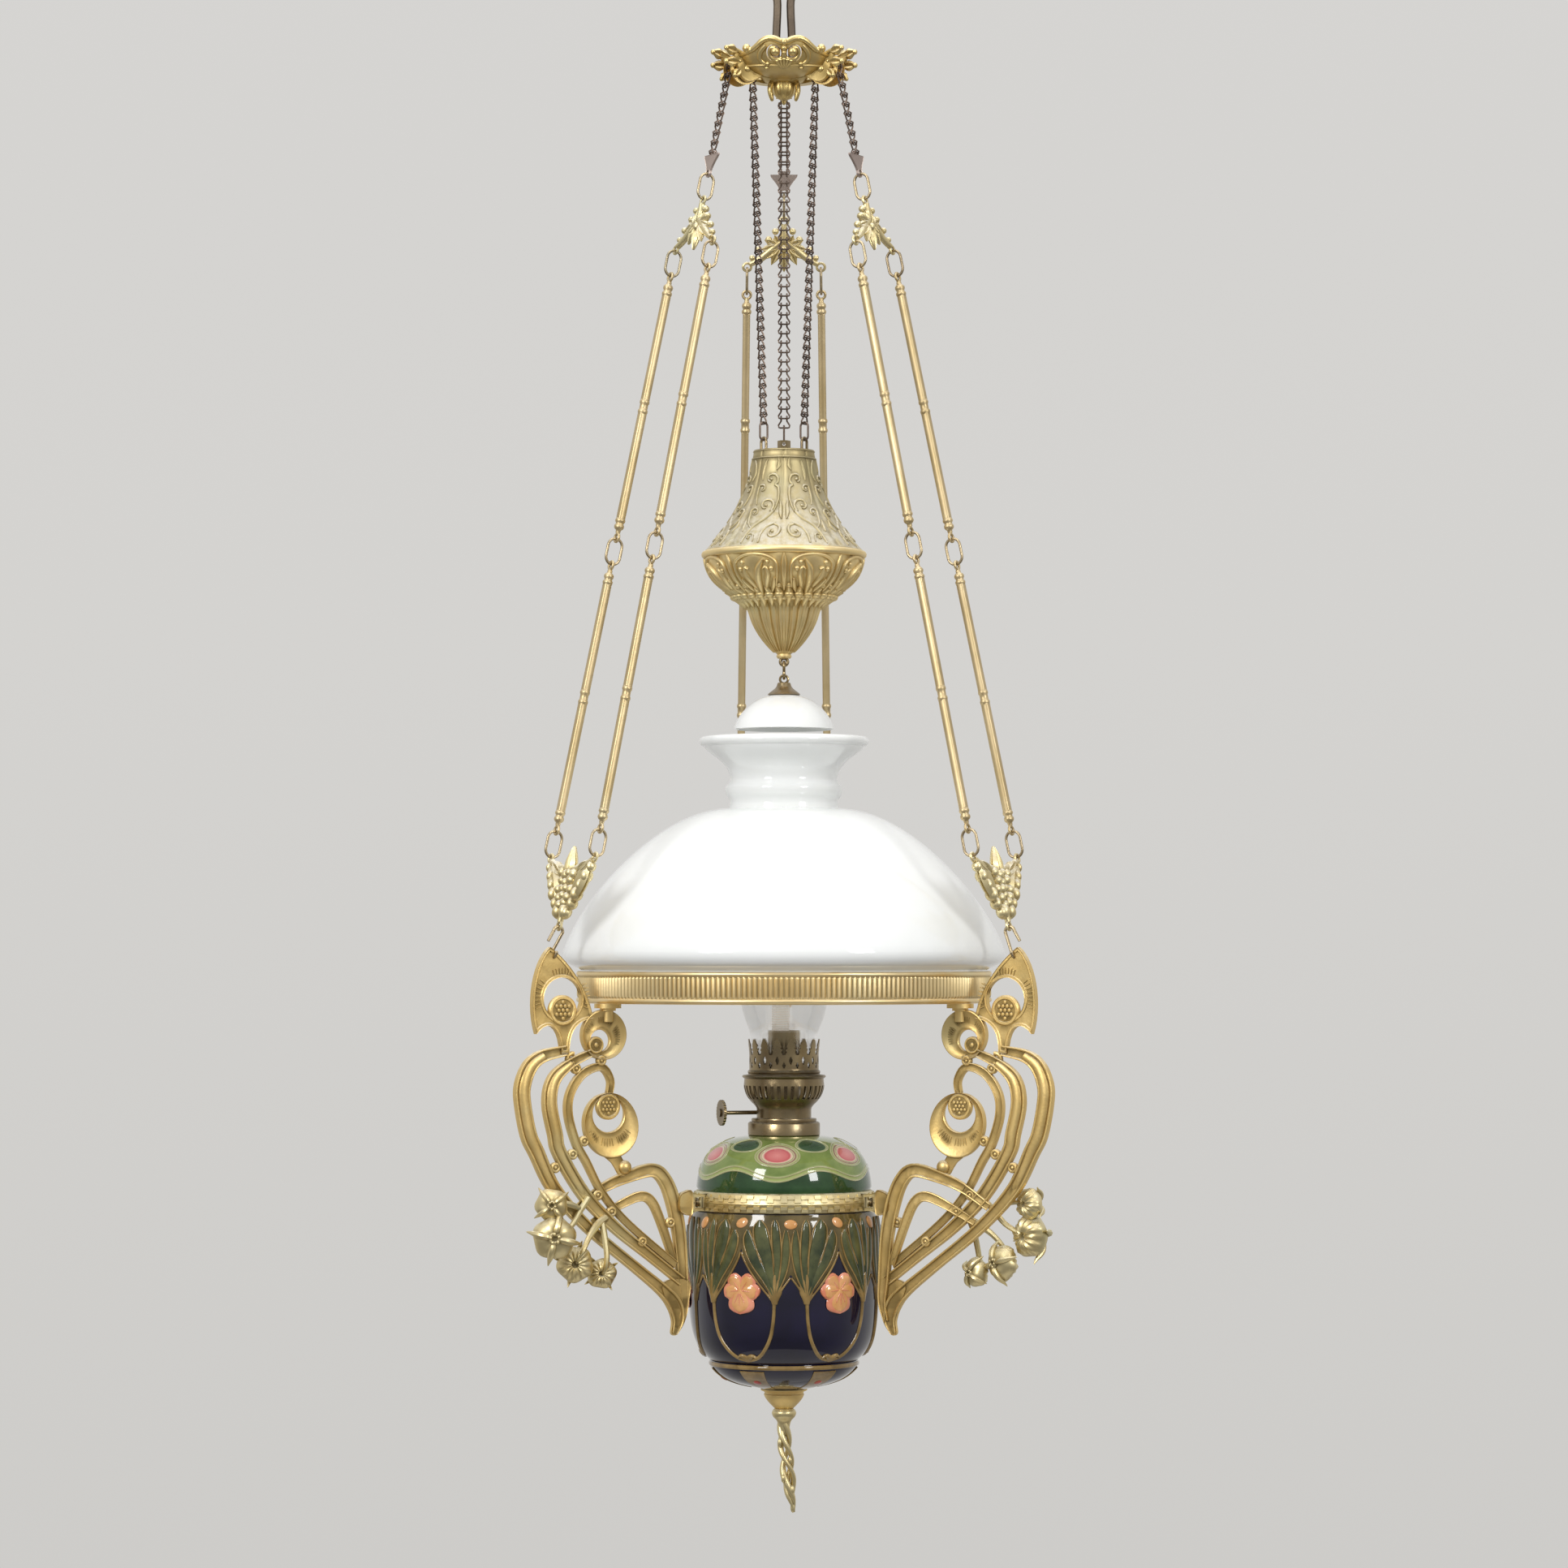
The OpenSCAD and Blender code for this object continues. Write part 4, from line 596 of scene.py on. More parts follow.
def opal_glass():
    """Milky glass, with a faint painted glow that stands in for the daylight it scatters."""
    finish, shader, at = nodes_of("opal_glass")
    smoke = noise(at, 7, 3)
    milk = ramp(smoke, [(0.35, (0.80, 0.815, 0.80)), (0.65, (0.85, 0.865, 0.86))])
    # The emission is a painted glow, for daylight scattered through the glass.
    feed(shader, {
        "Base Color": milk, "Roughness": grey(noise(at, 40, 3), 0.05, 0.12),
        "Subsurface Weight": 0.25, "Subsurface Radius": (0.012, 0.012, 0.011), "Coat Weight": 0.5,
        "Coat Roughness": 0.03, "Emission Color": (0.9, 0.96, 1.0, 1.0), "Emission Strength": 0.03})
    bump(shader, noise(at, 18, 2), 0.05, 0.002)
    return finish


def clear_glass():
    """Thin blown glass with a faint haze."""
    finish, shader, at = nodes_of("clear_glass")
    haze = ramp(noise(at, 30, 4), [(0.4, (0.97, 0.965, 0.95)), (0.7, (0.93, 0.92, 0.9))])
    feed(shader, {
        "Base Color": haze, "Roughness": grey(noise(at, 60, 3), 0.0, 0.06),
        "Transmission Weight": 1.0, "IOR": 1.4, "Alpha": 0.18})
    return finish


opal = opal_glass()
clear = clear_glass()


# Cast arms, drawn at (reach, height over the font ring's middle, width)

bar_a = [(195, 120, 8), (215, 116, 10), (226, 108, 12), (232, 94, 13), (232, 80, 13), (227, 56, 13),
         (220, 42, 12.5), (205, 14, 11), (175, -17, 9), (136, -47, 8.5), (110, -67, 10), (99, -79, 12.5),
         (96, -91, 10), (99.5, -101.5, 4.5)]
bar_b = [(173, 118, 6), (191, 110, 8), (205, 98, 11), (209, 80, 12), (204, 56, 12), (200, 41, 11.5),
         (179, 9, 11), (152, -17, 9.5), (120, -41, 8), (93, -61, 8)]
bar_c = [(157, 86, 5.5), (156, 97, 6), (164, 107, 6.5), (180, 102, 7), (191, 87, 7), (192.5, 70, 7),
         (185.5, 48, 7), (177, 34, 6.5), (162.5, 9, 6), (140, -15, 6), (98, -48, 6)]
bar_d = [(183, -1, 6), (160, 14, 8), (135, 23, 10), (117, 26, 11), (107, 18, 11.5), (100, 2, 12),
         (94, -25, 11), (91, -62, 9), (90, -78, 6.5), (93.5, -92, 4)]
bar_e = [(171, -13, 5), (146, 0, 7), (129, 6, 8), (119, 2, 8), (111, -13, 7.5), (98, -48, 6)]
head_outline = (
    bez((209, 200), (222, 190), (229, 158), (221, 133), 14)[:-1]
    + bez((221, 133), (211, 145), (200, 140), (199.5, 118), 10)
    + bez((192.5, 118), (193, 138), (184, 143), (172, 145), 10)
    + bez((172, 145), (176, 166), (190, 186), (209, 200), 12)[1:-1])
foot_outline = spline([(110, -62), (104, -82), (101, -92), (102, -101), (97.5, -102.5), (90, -92),
                       (86.5, -76), (87, -60)], 4, closed=True)
studs = [(204, 30), (189, 40), (179, 50), (103, -15), (128, -29), (167, 8), (155, -5), (164, 112),
         (186, 106)]
blossoms = [(212, 10, 2, 12.5, 1, 20), (211, 13, -23, 16.5, 1, 60), (191, 9, -44, 14, -1, 0),
            (168, 9, -52, 11.5, -1, 40)]
stems = [
    [(176, 2, 6, 2.6), (184, 5, -3, 2.4), (193, 8, -14, 2.2), (205, 10, -21, 2)],
    [(184, 4.5, -2.5, 2), (191, 6, 1, 2.4), (200, 7, 3, 2), (208, 8, 3, 1.6)],
    [(161, 2, -10, 3.4), (170, 6, -14.5, 3), (180, 12, -23, 2.3), (188, 16, -34, 2), (191, 13, -43, 2)],
    [(165, 4, -13, 2.8), (165.5, 9, -22, 2.5), (166, 14, -36, 2.3), (167, 15, -46, 2.2), (168, 12, -52, 2)]]


def medallion(bm, x, z, r, half_t, rows):
    """A round boss with a flat rim and a patch of beads on each face."""
    ground = half_t * 0.7
    outline = [(0, ground), (r * 0.7, ground), (r * 0.76, half_t), (r * 0.9, half_t), (r, half_t * 0.55),
               (r, 0)]
    step = r * 1.2 / rows
    for face in (-1, 1):
        lathe(bm, outline, 28, axis=(0, face, 0), at=(x, 0, z))
        for i in range(-rows, rows + 1):
            for k in range(-rows, rows + 1):
                u = (i + 0.5 * (k % 2)) * step
                v = k * step * 0.87
                if hypot(u, v) < r * 0.58:
                    bead(bm, (x + u, face * ground, z + v), step * 0.52, (1, 0.7, 1), 6, 5)


def ticks(bm, centre, inner, outer, angles, y):
    """Short fine lines that point at a centre, at angles in degrees round it, alike on both faces."""
    for a in angles:
        dx, dz = cos(radians(a)), sin(radians(a))
        for face in (-1, 1):
            wire(bm, [(centre[0] + r * dx, face * y, centre[1] + r * dz) for r in (inner, outer)], 0.4, 4)


def stud(bm, x, z, r, half_t):
    """A ringed stud that ties two bars."""
    outline = [(0, half_t + 0.2), (r * 0.25, half_t), (r * 0.42, half_t - 0.7), (r * 0.62, half_t),
               (r * 0.85, half_t - 0.1), (r, half_t - 0.9), (r * 0.92, 0)]
    for face in (-1, 1):
        lathe(bm, outline, 16, axis=(0, face, 0), at=(x, 0, z))


@shaped()
def blossom_mesh(bm):
    """A pod of radius 1 that faces +Z, with four pointed sepals, a crown and a fluted, hollow back."""
    lathe(bm, [(0, -0.22), (0.12, -0.26), (0.2, -0.46), (0.36, -0.52), (0.6, -0.46), (0.86, -0.26),
               (1, 0.0), (0.98, 0.2), (0.86, 0.42), (0.62, 0.6), (0.36, 0.68), (0.2, 0.68), (0, 0.66)], 60)
    for v in bm.verts:
        reach = hypot(v.co.x, v.co.y)
        angle = atan2(v.co.y, v.co.x)
        back = min(max(-v.co.z * 4, 0), 1)
        v.co.xy *= 1 + 0.05 * reach * cos(5 * angle + 1)
        v.co.z += 0.07 * back * min(reach, 0.7) * cos(15 * angle) + 0.05 * reach * sin(5 * angle)
    for k in range(4):
        a = k * tau / 4 + 0.3
        path = [(s * cos(a), s * sin(a), h) for s, h in (
            (0.16, 0.68), (0.4, 0.76), (0.7, 0.66), (0.95, 0.44), (1.15, 0.2), (1.34, 0.05))]
        wire(bm, spline(path, 2), [0.1, 0.13, 0.15, 0.16, 0.17, 0.16, 0.14, 0.11, 0.08, 0.05, 0.012], 8)
    hoop(bm, 0.21, 0.74, 0.1, 14, 8)
    for x, y in circle((0, 0), 0.21, 5):
        bead(bm, (x, y, 0.82), 0.09, u=8, v=6)


@shaped(recess_shade_reach=9)
def arm_mesh(bm):
    """An arm: five bars, a pierced head, a foot, two open rings, three medallions and studs."""
    band(bm, bar_a, RIMMED, 2.9)
    band(bm, [(x - 1.3, z, 0.86 * w) for x, z, w in bar_a[1:8]], LENS, [2.8, 3.4, 3.8, 3.8, 3.4, 2.4, 0.9])
    band(bm, bar_b, RIMMED, 2.7)
    band(bm, [(x - 1.1, z, 0.86 * w) for x, z, w in bar_b[1:7]], LENS, [2.6, 3.2, 3.6, 3.2, 2.1, 0.8])
    band(bm, bar_c, CHANNEL, 2.3)
    band(bm, bar_d, RIMMED, [0.8, 2.0] + [2.6] * (len(bar_d) - 2), -1.4)
    band(bm, bar_e, CHANNEL, [0.7, 1.5] + [1.9] * (len(bar_e) - 2), -1.4)
    plate(bm, [head_outline, circle((198.5, 160), 16.5, 40)], 2.6, 1.4, 0.7, 0.5)
    plate(bm, [foot_outline], 1.5, soft=0.5)
    plate(bm, [spline([(152, 44), (145, 35), (139, 27), (147, 22), (155, 33), (168, 43)], 3, closed=True)],
          1.0, soft=0.4)
    plate(bm, [spline([(84.2, 8.6), (90, 8.8), (95, 6), (96, 0), (95, -6), (90, -9), (84.2, -8.6)],
                      3, closed=True)], 3, soft=0.8)
    medallion(bm, 198, 151, 12, 2.6, 4)
    ticks(bm, (198.5, 160), 19.5, 24, [*range(70, 112, 7), *range(-18, 40, 8), *range(150, 202, 8)], 1.95)
    around = all_round(48)
    between(bm, [(162 + 19.5 * cos(a), 132 + 19.5 * sin(a)) for a in around],
            [(165.5 + 8.5 * cos(a), 127.5 + 8.5 * sin(a)) for a in around], DISH, 2.8, closed=True)
    medallion(bm, 169, 124, 6.8, 2.4, 2)
    ticks(bm, (164, 129.5), 12, 17, [*range(20, 60, 7), *range(80, 130, 7), *range(150, 200, 7)], 1.15)
    tip = radians(-115)
    egg = [24.5 * (1 + 0.1 * cos(a - tip) + 0.05 * cos(2 * (a - tip))) for a in around]
    between(bm, [(157 + r * cos(a), 64 + r * sin(a)) for r, a in zip(egg, around)],
            [(158 + 14 * cos(a), 70.5 + 14 * sin(a)) for a in around], DISH, 2.8, closed=True)
    medallion(bm, 158, 76.5, 10.4, 2.5, 4)
    ticks(bm, (158, 70.5), 19, 25, [*range(-142, -110, 6), *range(-100, -74, 6), *range(-64, -34, 6)], 1.15)
    bead(bm, (143, 0, 29), 5.6, (1, 0.75, 1), 16, 12)
    for x, z in studs:
        stud(bm, x, z, 4.2, 2.4)
    wire(bm, [(x, 0, z) for x, z in curl((189.5, 112.5), 5.5, 2.0, 1.9, -4.4)], 1.9, 8)
    lathe(bm, [(0, 141), (4.5, 142), (4.5, 150.4), (2.5, 150.6), (2.5, 163.5), (0, 164)], 24,
          at=(158, 0, 0))


@shaped(recess_shade_reach=4)
def blossom_group_mesh(bm):
    """Four pods on their stems beside an arm."""
    pod = blossom_mesh()
    for x, y, z, r, face, turn in blossoms:
        lean = Matrix.Rotation(radians(-90 * face), 4, "X") @ Matrix.Rotation(radians(25 * face), 4, "Y")
        stamp(bm, pod, Matrix.Translation((x, y, z)) @ lean @ turned_to(turn) @ Matrix.Scale(r, 4))
    for path in stems:
        run = spline(path, 4)
        wire(bm, [p[:3] for p in run], [p[3] for p in run], 8)


arm = arm_mesh()
blossom_group = blossom_group_mesh()
for side, angle in sides.items():
    place = turned_to(angle) @ Matrix.Translation((0, 0, font_z))
    piece(arm.copy(), f"cast_arm_{side}", "lamp", gilt, (f"arm_{side}",), place)
    piece(blossom_group.copy(), f"blossoms_{side}", "lamp", pale_gilt, (), place)


# Hangers: the line from the pulley down to the arm's hole

hole_reach = 206
hole_z = font_z + 191
line_h = sqrt((hole_reach - pulley_reach) ** 2 + (pulley_z - hole_z) ** 2 - pulley_r ** 2)
lean = atan((hole_reach - pulley_reach) / (pulley_z - hole_z)) - atan(pulley_r / line_h)
clip_pin = 71.5
upper_top = 111.6
upper_end = 148.6
lower_top = 644.3
lower_h = 54
spread_top = 30
spread_bottom = 37
ring_step = 22.59
rod_h = 214
splay = asin((spread_bottom - spread_top) / (3 * ring_step + 2 * rod_h))


def on_line(angle, s):
    """A place on a hanger, this far down its line: Z is up the line, Y sideways and X outwards."""
    reach = pulley_reach + pulley_r * cos(lean) + s * sin(lean)
    height = pulley_z + pulley_r * sin(lean) - s * cos(lean)
    return turned_to(angle) @ Matrix.Translation((reach, 0, height)) @ Matrix.Rotation(-lean, 4, "Y")


# Turns a casting drawn in the X-Z plane to face outwards
flat_way = turned_to(90)


def flat_eye(bm, x, z):
    """A rounded eye at the end of a casting in the X-Z plane."""
    wire(bm, [(px, 0, pz) for px, pz in circle((x, z), 3.3, 16)], 1.1, 8, closed=True)


def leaf(bm, x, z, length, width, angle, y=0.0, thick=1.3):
    """A small cast leaf, folded along its middle."""
    dx, dz = cos(radians(angle)), sin(radians(angle))
    shape = [(0, 0.15), (0.2, 0.75), (0.45, 1), (0.7, 0.72), (0.9, 0.3), (1, 0.05)]
    path = [(x + dx * length * t, z + dz * length * t, width * w) for t, w in shape]
    depth = [thick * (0.25 + 0.75 * w) for _, w in shape]
    fold = [(-1, 0.2), (-0.55, 0.85), (-0.12, 0.55), (0, 0.3), (0.12, 0.55), (0.55, 0.85), (1, 0.2),
            (0.5, -0.3), (-0.5, -0.3)]
    for face in (-1, 1):
        band(bm, path, [(u, v * face) for u, v in fold], depth, y, 3)


@shaped(recess_shade_reach=3)
def upper_spreader_mesh(bm):
    """A palmette of fat leaves with an arm to each ring."""
    flat_eye(bm, 0, 0)
    band(bm, [(0, -3, 4.5), (0, -9, 6), (0, -16, 9)], LENS, 2.8)
    for s in (-1, 1):
        flat_eye(bm, s * spread_top, upper_top - upper_end)
        band(bm, [(0, -15, 6), (s * 9, -22, 6.5), (s * 19, -30, 6), (s * 27.5, -34.6, 4.6)], LENS, 2.6)
        for angle, length, width in ((62, 10, 6.5), (22, 14, 7.5), (-10, 16, 7.5), (-38, 17, 7.5),
                                     (-64, 17, 7.5)):
            leaf(bm, s * 3, -20, length, width, angle if s > 0 else 180 - angle, thick=3.2)
        for x, z, r in ((7, -8, 2.9), (12.5, -14.5, 2.8), (20.5, -22.5, 2.8), (26, -29.5, 2.5)):
            bead(bm, (s * x, 0, z), r, (1, 1.15, 1), 10, 8)
    leaf(bm, 0, -6, 17, 8, -90, thick=3.6)
    leaf(bm, 0, -24, 17, 8, -90, thick=3.2)
    bead(bm, (0, 0, -22), 3.4, (1, 1.2, 1), 12, 10)


@shaped(recess_shade_reach=3)
def lower_spreader_mesh(bm):
    """A bunch of grapes between leaves, hung from a ring at each upper corner."""
    flat_eye(bm, 0, -lower_h)
    band(bm, [(0, -38, 8), (0, -46, 6.5), (0, -51, 4.8)], LENS, 2.4)
    for s in (-1, 1):
        flat_eye(bm, s * spread_bottom, 0)
        band(bm, [(s * 35.5, -2.6, 4.6), (s * 25, -6, 6.5), (s * 12, -9, 6.5), (0, -10, 6)], LENS, 2.6)
        band(bm, [(s * 34, -4, 4), (s * 27, -14, 5.5), (s * 17, -29, 5.5), (s * 4, -47, 5)], LENS, 2.2)
        leaf(bm, s * 33, -1, 47, 17, -90 - s * 30, thick=4.6)
        leaf(bm, s * 30, -4, 22, 11, -90 - s * 62, thick=4.2)
        for k, r in enumerate((3.4, 4.3, 3.9, 4.6, 4.0, 3.4)):
            bead(bm, (s * (34 - 5.1 * k), 0.5 * sin(2 * k), -7.5 - 7.2 * k), r, (0.85, 1.2, 1.25), 12, 10)
        bead(bm, (s * 5.2, 0, -42.5), 5.0, (0.9, 1.15, 1.3), 12, 10)
    leaf(bm, 0, -18, 27, 15, 90, thick=4.4)
    for row, count in enumerate((4, 3, 4, 3, 2)):
        for k in range(count):
            uneven = sin(3.1 * row + 2.3 * k)
            x = (k - (count - 1) / 2) * 6.6 + 0.9 * uneven
            z = -13 - row * 6 + 1.1 * cos(2.7 * k + row)
            bead(bm, (x, 0.5 * uneven, z), 4.3 + 0.6 * uneven, (1, 1.25, 1), 12, 10)


@shaped(50)
def rod_mesh(bm):
    """A slender square rod with finely notched edges, ringed at its ends and its middle."""
    half = rod_h / 2
    ends = [(0, -2.6), (1.3, -2.6), (2.0, -4.6), (2.0, -6), (3.2, -7), (3.9, -8.2), (3.9, -9.8), (3.2, -11),
            (3.2, -12), (4.0, -13), (4.0, -14.6), (3.0, -16), (0, -17)]
    middle = [(0, 6), (3.1, 6), (3.9, 4.6), (3.9, 3), (3.3, 2), (3.3, -2), (3.9, -3), (3.9, -4.6),
              (3.1, -6), (0, -6)]
    lathe(bm, ends, 14)
    lathe(bm, [(r, -rod_h - z) for r, z in ends], 14)
    lathe(bm, [(r, z - half) for r, z in middle], 14)
    square = [(1, 0.72), (0.72, 1), (-0.72, 1), (-1, 0.72), (-1, -0.72), (-0.72, -1), (0.72, -1),
              (1, -0.72)]
    notches = 62
    for top in (-15, -half - 5):
        stations = []
        for i in range(2 * notches + 1):
            r = 3.1 if i % 2 else 2.8
            down = top - (half - 20) * i / (2 * notches)
            stations.append(Matrix.Translation((0, 0, down)) @ Matrix.Diagonal((r, r, 1, 1)))
        loft(bm, square, stations)
    for z in (0, -rod_h):
        wire(bm, [(0, y, z + h) for y, h in circle((0, 0), 3.3, 16)], 1.15, 8, closed=True)


@shaped()
def clip_mesh(bm):
    """A thin folded tab, wide where it takes the chain and narrow at its eye."""
    half = spline([(11, -2.6), (10.4, -4.5), (7.2, -8.5), (4.6, -12.5), (3.4, -15.5)], 4)
    tongue = [(2.6, 0.4), (2.6, -2.3), (11, -2.3)]
    eye_z = -17.5
    eye = [(3.8 * cos(radians(a)), eye_z + 3.8 * sin(radians(a))) for a in range(30, -211, -30)]
    outline = tongue + half + eye + [(-x, z) for x, z in reversed(tongue + half)]
    plate(bm, [outline, circle((0, eye_z), 2.4, 16)], 0.9, soft=0.3)
    wire(bm, [(x, 0, 0) for x in (-4.2, 0, 4.2)], 0.6, 8)


upper_spreader = upper_spreader_mesh()
lower_spreader = lower_spreader_mesh()
rod = rod_mesh()
clip = clip_mesh()
clips = bmesh.new()
for side, angle in sides.items():
    piece(upper_spreader.copy(), f"vine_spreader_upper_{side}", "lamp", dusty_gilt,
          (f"upper_spreader_{side}",), on_line(angle, upper_top) @ flat_way)
    piece(lower_spreader.copy(), f"vine_spreader_lower_{side}", "lamp", dusty_gilt,
          (f"lower_spreader_{side}",), on_line(angle, lower_top) @ flat_way)
    rods = bmesh.new()
    for s in (-1, 1):
        for i in (0, 1):
            drop = ring_step + i * (ring_step + rod_h)
            stamp(rods, rod, Matrix.Translation((0, s * spread_top, 0)) @ Matrix.Rotation(s * splay, 4, "X")
                  @ Matrix.Translation((0, 0, -drop)))
    piece(as_mesh(rods, 50), f"notched_rods_{side}", "lamp", rod_gilt,
          (f"hanger_rods_{side}",), on_line(angle, upper_end))
    stamp(clips, clip, on_line(angle, clip_pin) @ flat_way)
    paint(nodes[f"hanger_rings_{side}"].data, ring_wire_finish)
piece(as_mesh(clips), "pressed_clips", "lamp", clip_grey, ("chain_clips",))


# Ladder chains

inner_foot = 18.6
inner_foot_z = -360
inner_h = sqrt((pulley_reach - inner_foot) ** 2 + (pulley_z - inner_foot_z) ** 2 - pulley_r ** 2)
inner_lean = atan((pulley_reach - inner_foot) / (pulley_z - inner_foot_z)) - atan(pulley_r / inner_h)
chain_pitch = 7.6


@shaped(60)
def link_mesh(bm, pitch):
    """One link: a rung, two legs and two eyes round the next rung, in one bent wire."""
    eye_y, eye_r, half = 2.3, 2.0, 4.5
    eye = [(eye_r * sin(radians(a)), -eye_y, pitch + eye_r * cos(radians(a))) for a in range(-170, 171, 68)]
    leg = [(0.5, -eye_y - 0.5, pitch - eye_r - 0.9), (0, -half, 2.0), (0, -half + 0.4, 0.3),
           (0, -half + 1.4, 0)]
    near = eye + leg
    far = [(x, -y, z) for x, y, z in reversed(near)]
    wire(bm, near + far, 0.72, 5)


@shaped(60)
def outer_chain(bm, angle):
    """The links round a pulley and down to the clip."""
    wraps = 4
    turn = (pi - inner_lean - lean) / wraps
    chord = link_mesh(2 * pulley_r * sin(turn / 2))
    hub = turned_to(angle) @ Matrix.Translation((pulley_reach, 0, pulley_z))
    for i in range(wraps):
        stamp(bm, chord, hub @ Matrix.Rotation(inner_lean - pi + i * turn, 4, "Y")
              @ Matrix.Translation((pulley_r, 0, 0)) @ Matrix.Rotation(pi + turn / 2, 4, "Y"))
    count = round(clip_pin / chain_pitch)
    link = link_mesh(clip_pin / count)
    for i in range(count):
        stamp(bm, link, on_line(angle, i * clip_pin / count) @ Matrix.Rotation(pi, 4, "Y"))


@shaped(60)
def inner_chain(bm, angle):
    """The links from the counterweight up to a pulley."""
    count = round(inner_h / chain_pitch)
    link = link_mesh(inner_h / count)
    foot = Matrix.Translation((inner_foot, 0, inner_foot_z)) @ Matrix.Rotation(inner_lean, 4, "Y")
    for i in range(count):
        stamp(bm, link, turned_to(angle) @ foot @ Matrix.Translation((0, 0, i * inner_h / count)))


for side, angle in sides.items():
    run = piece(outer_chain(angle), f"ladder_chain_outer_{side}", None, chain_metal,
                (f"chain_outer_{side}",))
    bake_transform(run)
    run = piece(inner_chain(angle), f"ladder_chain_inner_{side}", "canopy", chain_metal,
                (f"chain_inner_{side}",))
    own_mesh(run)


# Canopy

@shaped(50)
def loop_mesh(bm):
    """The forged loop: an eye with two legs down to the canopy's hub."""
    r = 12.25
    path = [(-6.6, -76), (-6.2, -50), (-5.2, -24), (-6.4, -15.5)]
    path += [(r * sin(radians(a)), r * cos(radians(a))) for a in range(-150, 151, 15)][1:-1]
    path += [(-x, z) for x, z in reversed(path[:4])]
    run = spline(path, 3)
    corner = [(-1, -0.6), (-0.6, -1), (0.6, -1), (1, -0.6), (1, 0.6), (0.6, 1), (-0.6, 1), (-1, 0.6)]
    lefts, rights = edges_of([(x, z, 6.4) for x, z in run])
    between(bm, lefts, rights, corner, 4.4)


dish_line = spline([(12, -6), (20, -5.4), (30, -4), (38, -0.6), (43.5, 4.2), (47, 11), (49, 17),
                    (49.6, 21)], 6)
arch_edge = [(-49, 40), (-43, 41), (-36, 42.4), (-30, 44), (-25, 46.6), (-20, 49.6), (-14, 51.2),
             (-8, 50.4), (-3, 48.4)]
arch_edge += [(-turn, out) for turn, out in reversed(arch_edge)]


def on_dish(mid, turn, out, lift=0.0):
    """A point on the dish: degrees from a panel's middle, millimetres out from the hub, and off it."""
    for (r0, z0), (r1, z1) in zip(dish_line, dish_line[1:]):
        step = hypot(r1 - r0, z1 - z0)
        if out <= step:
            break
        out -= step
    dr, dz = (r1 - r0) / step, (z1 - z0) / step
    a = radians(mid + turn)
    r = r0 + dr * out + dz * lift
    return Vector((r * cos(a), r * sin(a), z0 + dz * out - dr * lift))


@shaped(40, recess_shade_reach=3)
def canopy_mesh(bm):
    """A moulded hub, three dish panels and a pair of cheeks for each pulley."""
    lathe(bm, [(0, 11.5), (9, 11.5), (13.5, 10), (15, 6.5), (14, 3), (16.5, 0), (19, -3.4), (15, -6.5),
               (9, -8), (0, -8)], 48)
    for mid in (30, 150, 270):
        dish_panel(bm, mid)
    for angle in sides.values():
        for s in (-1, 1):
            cheek(bm, turned_to(angle), s)


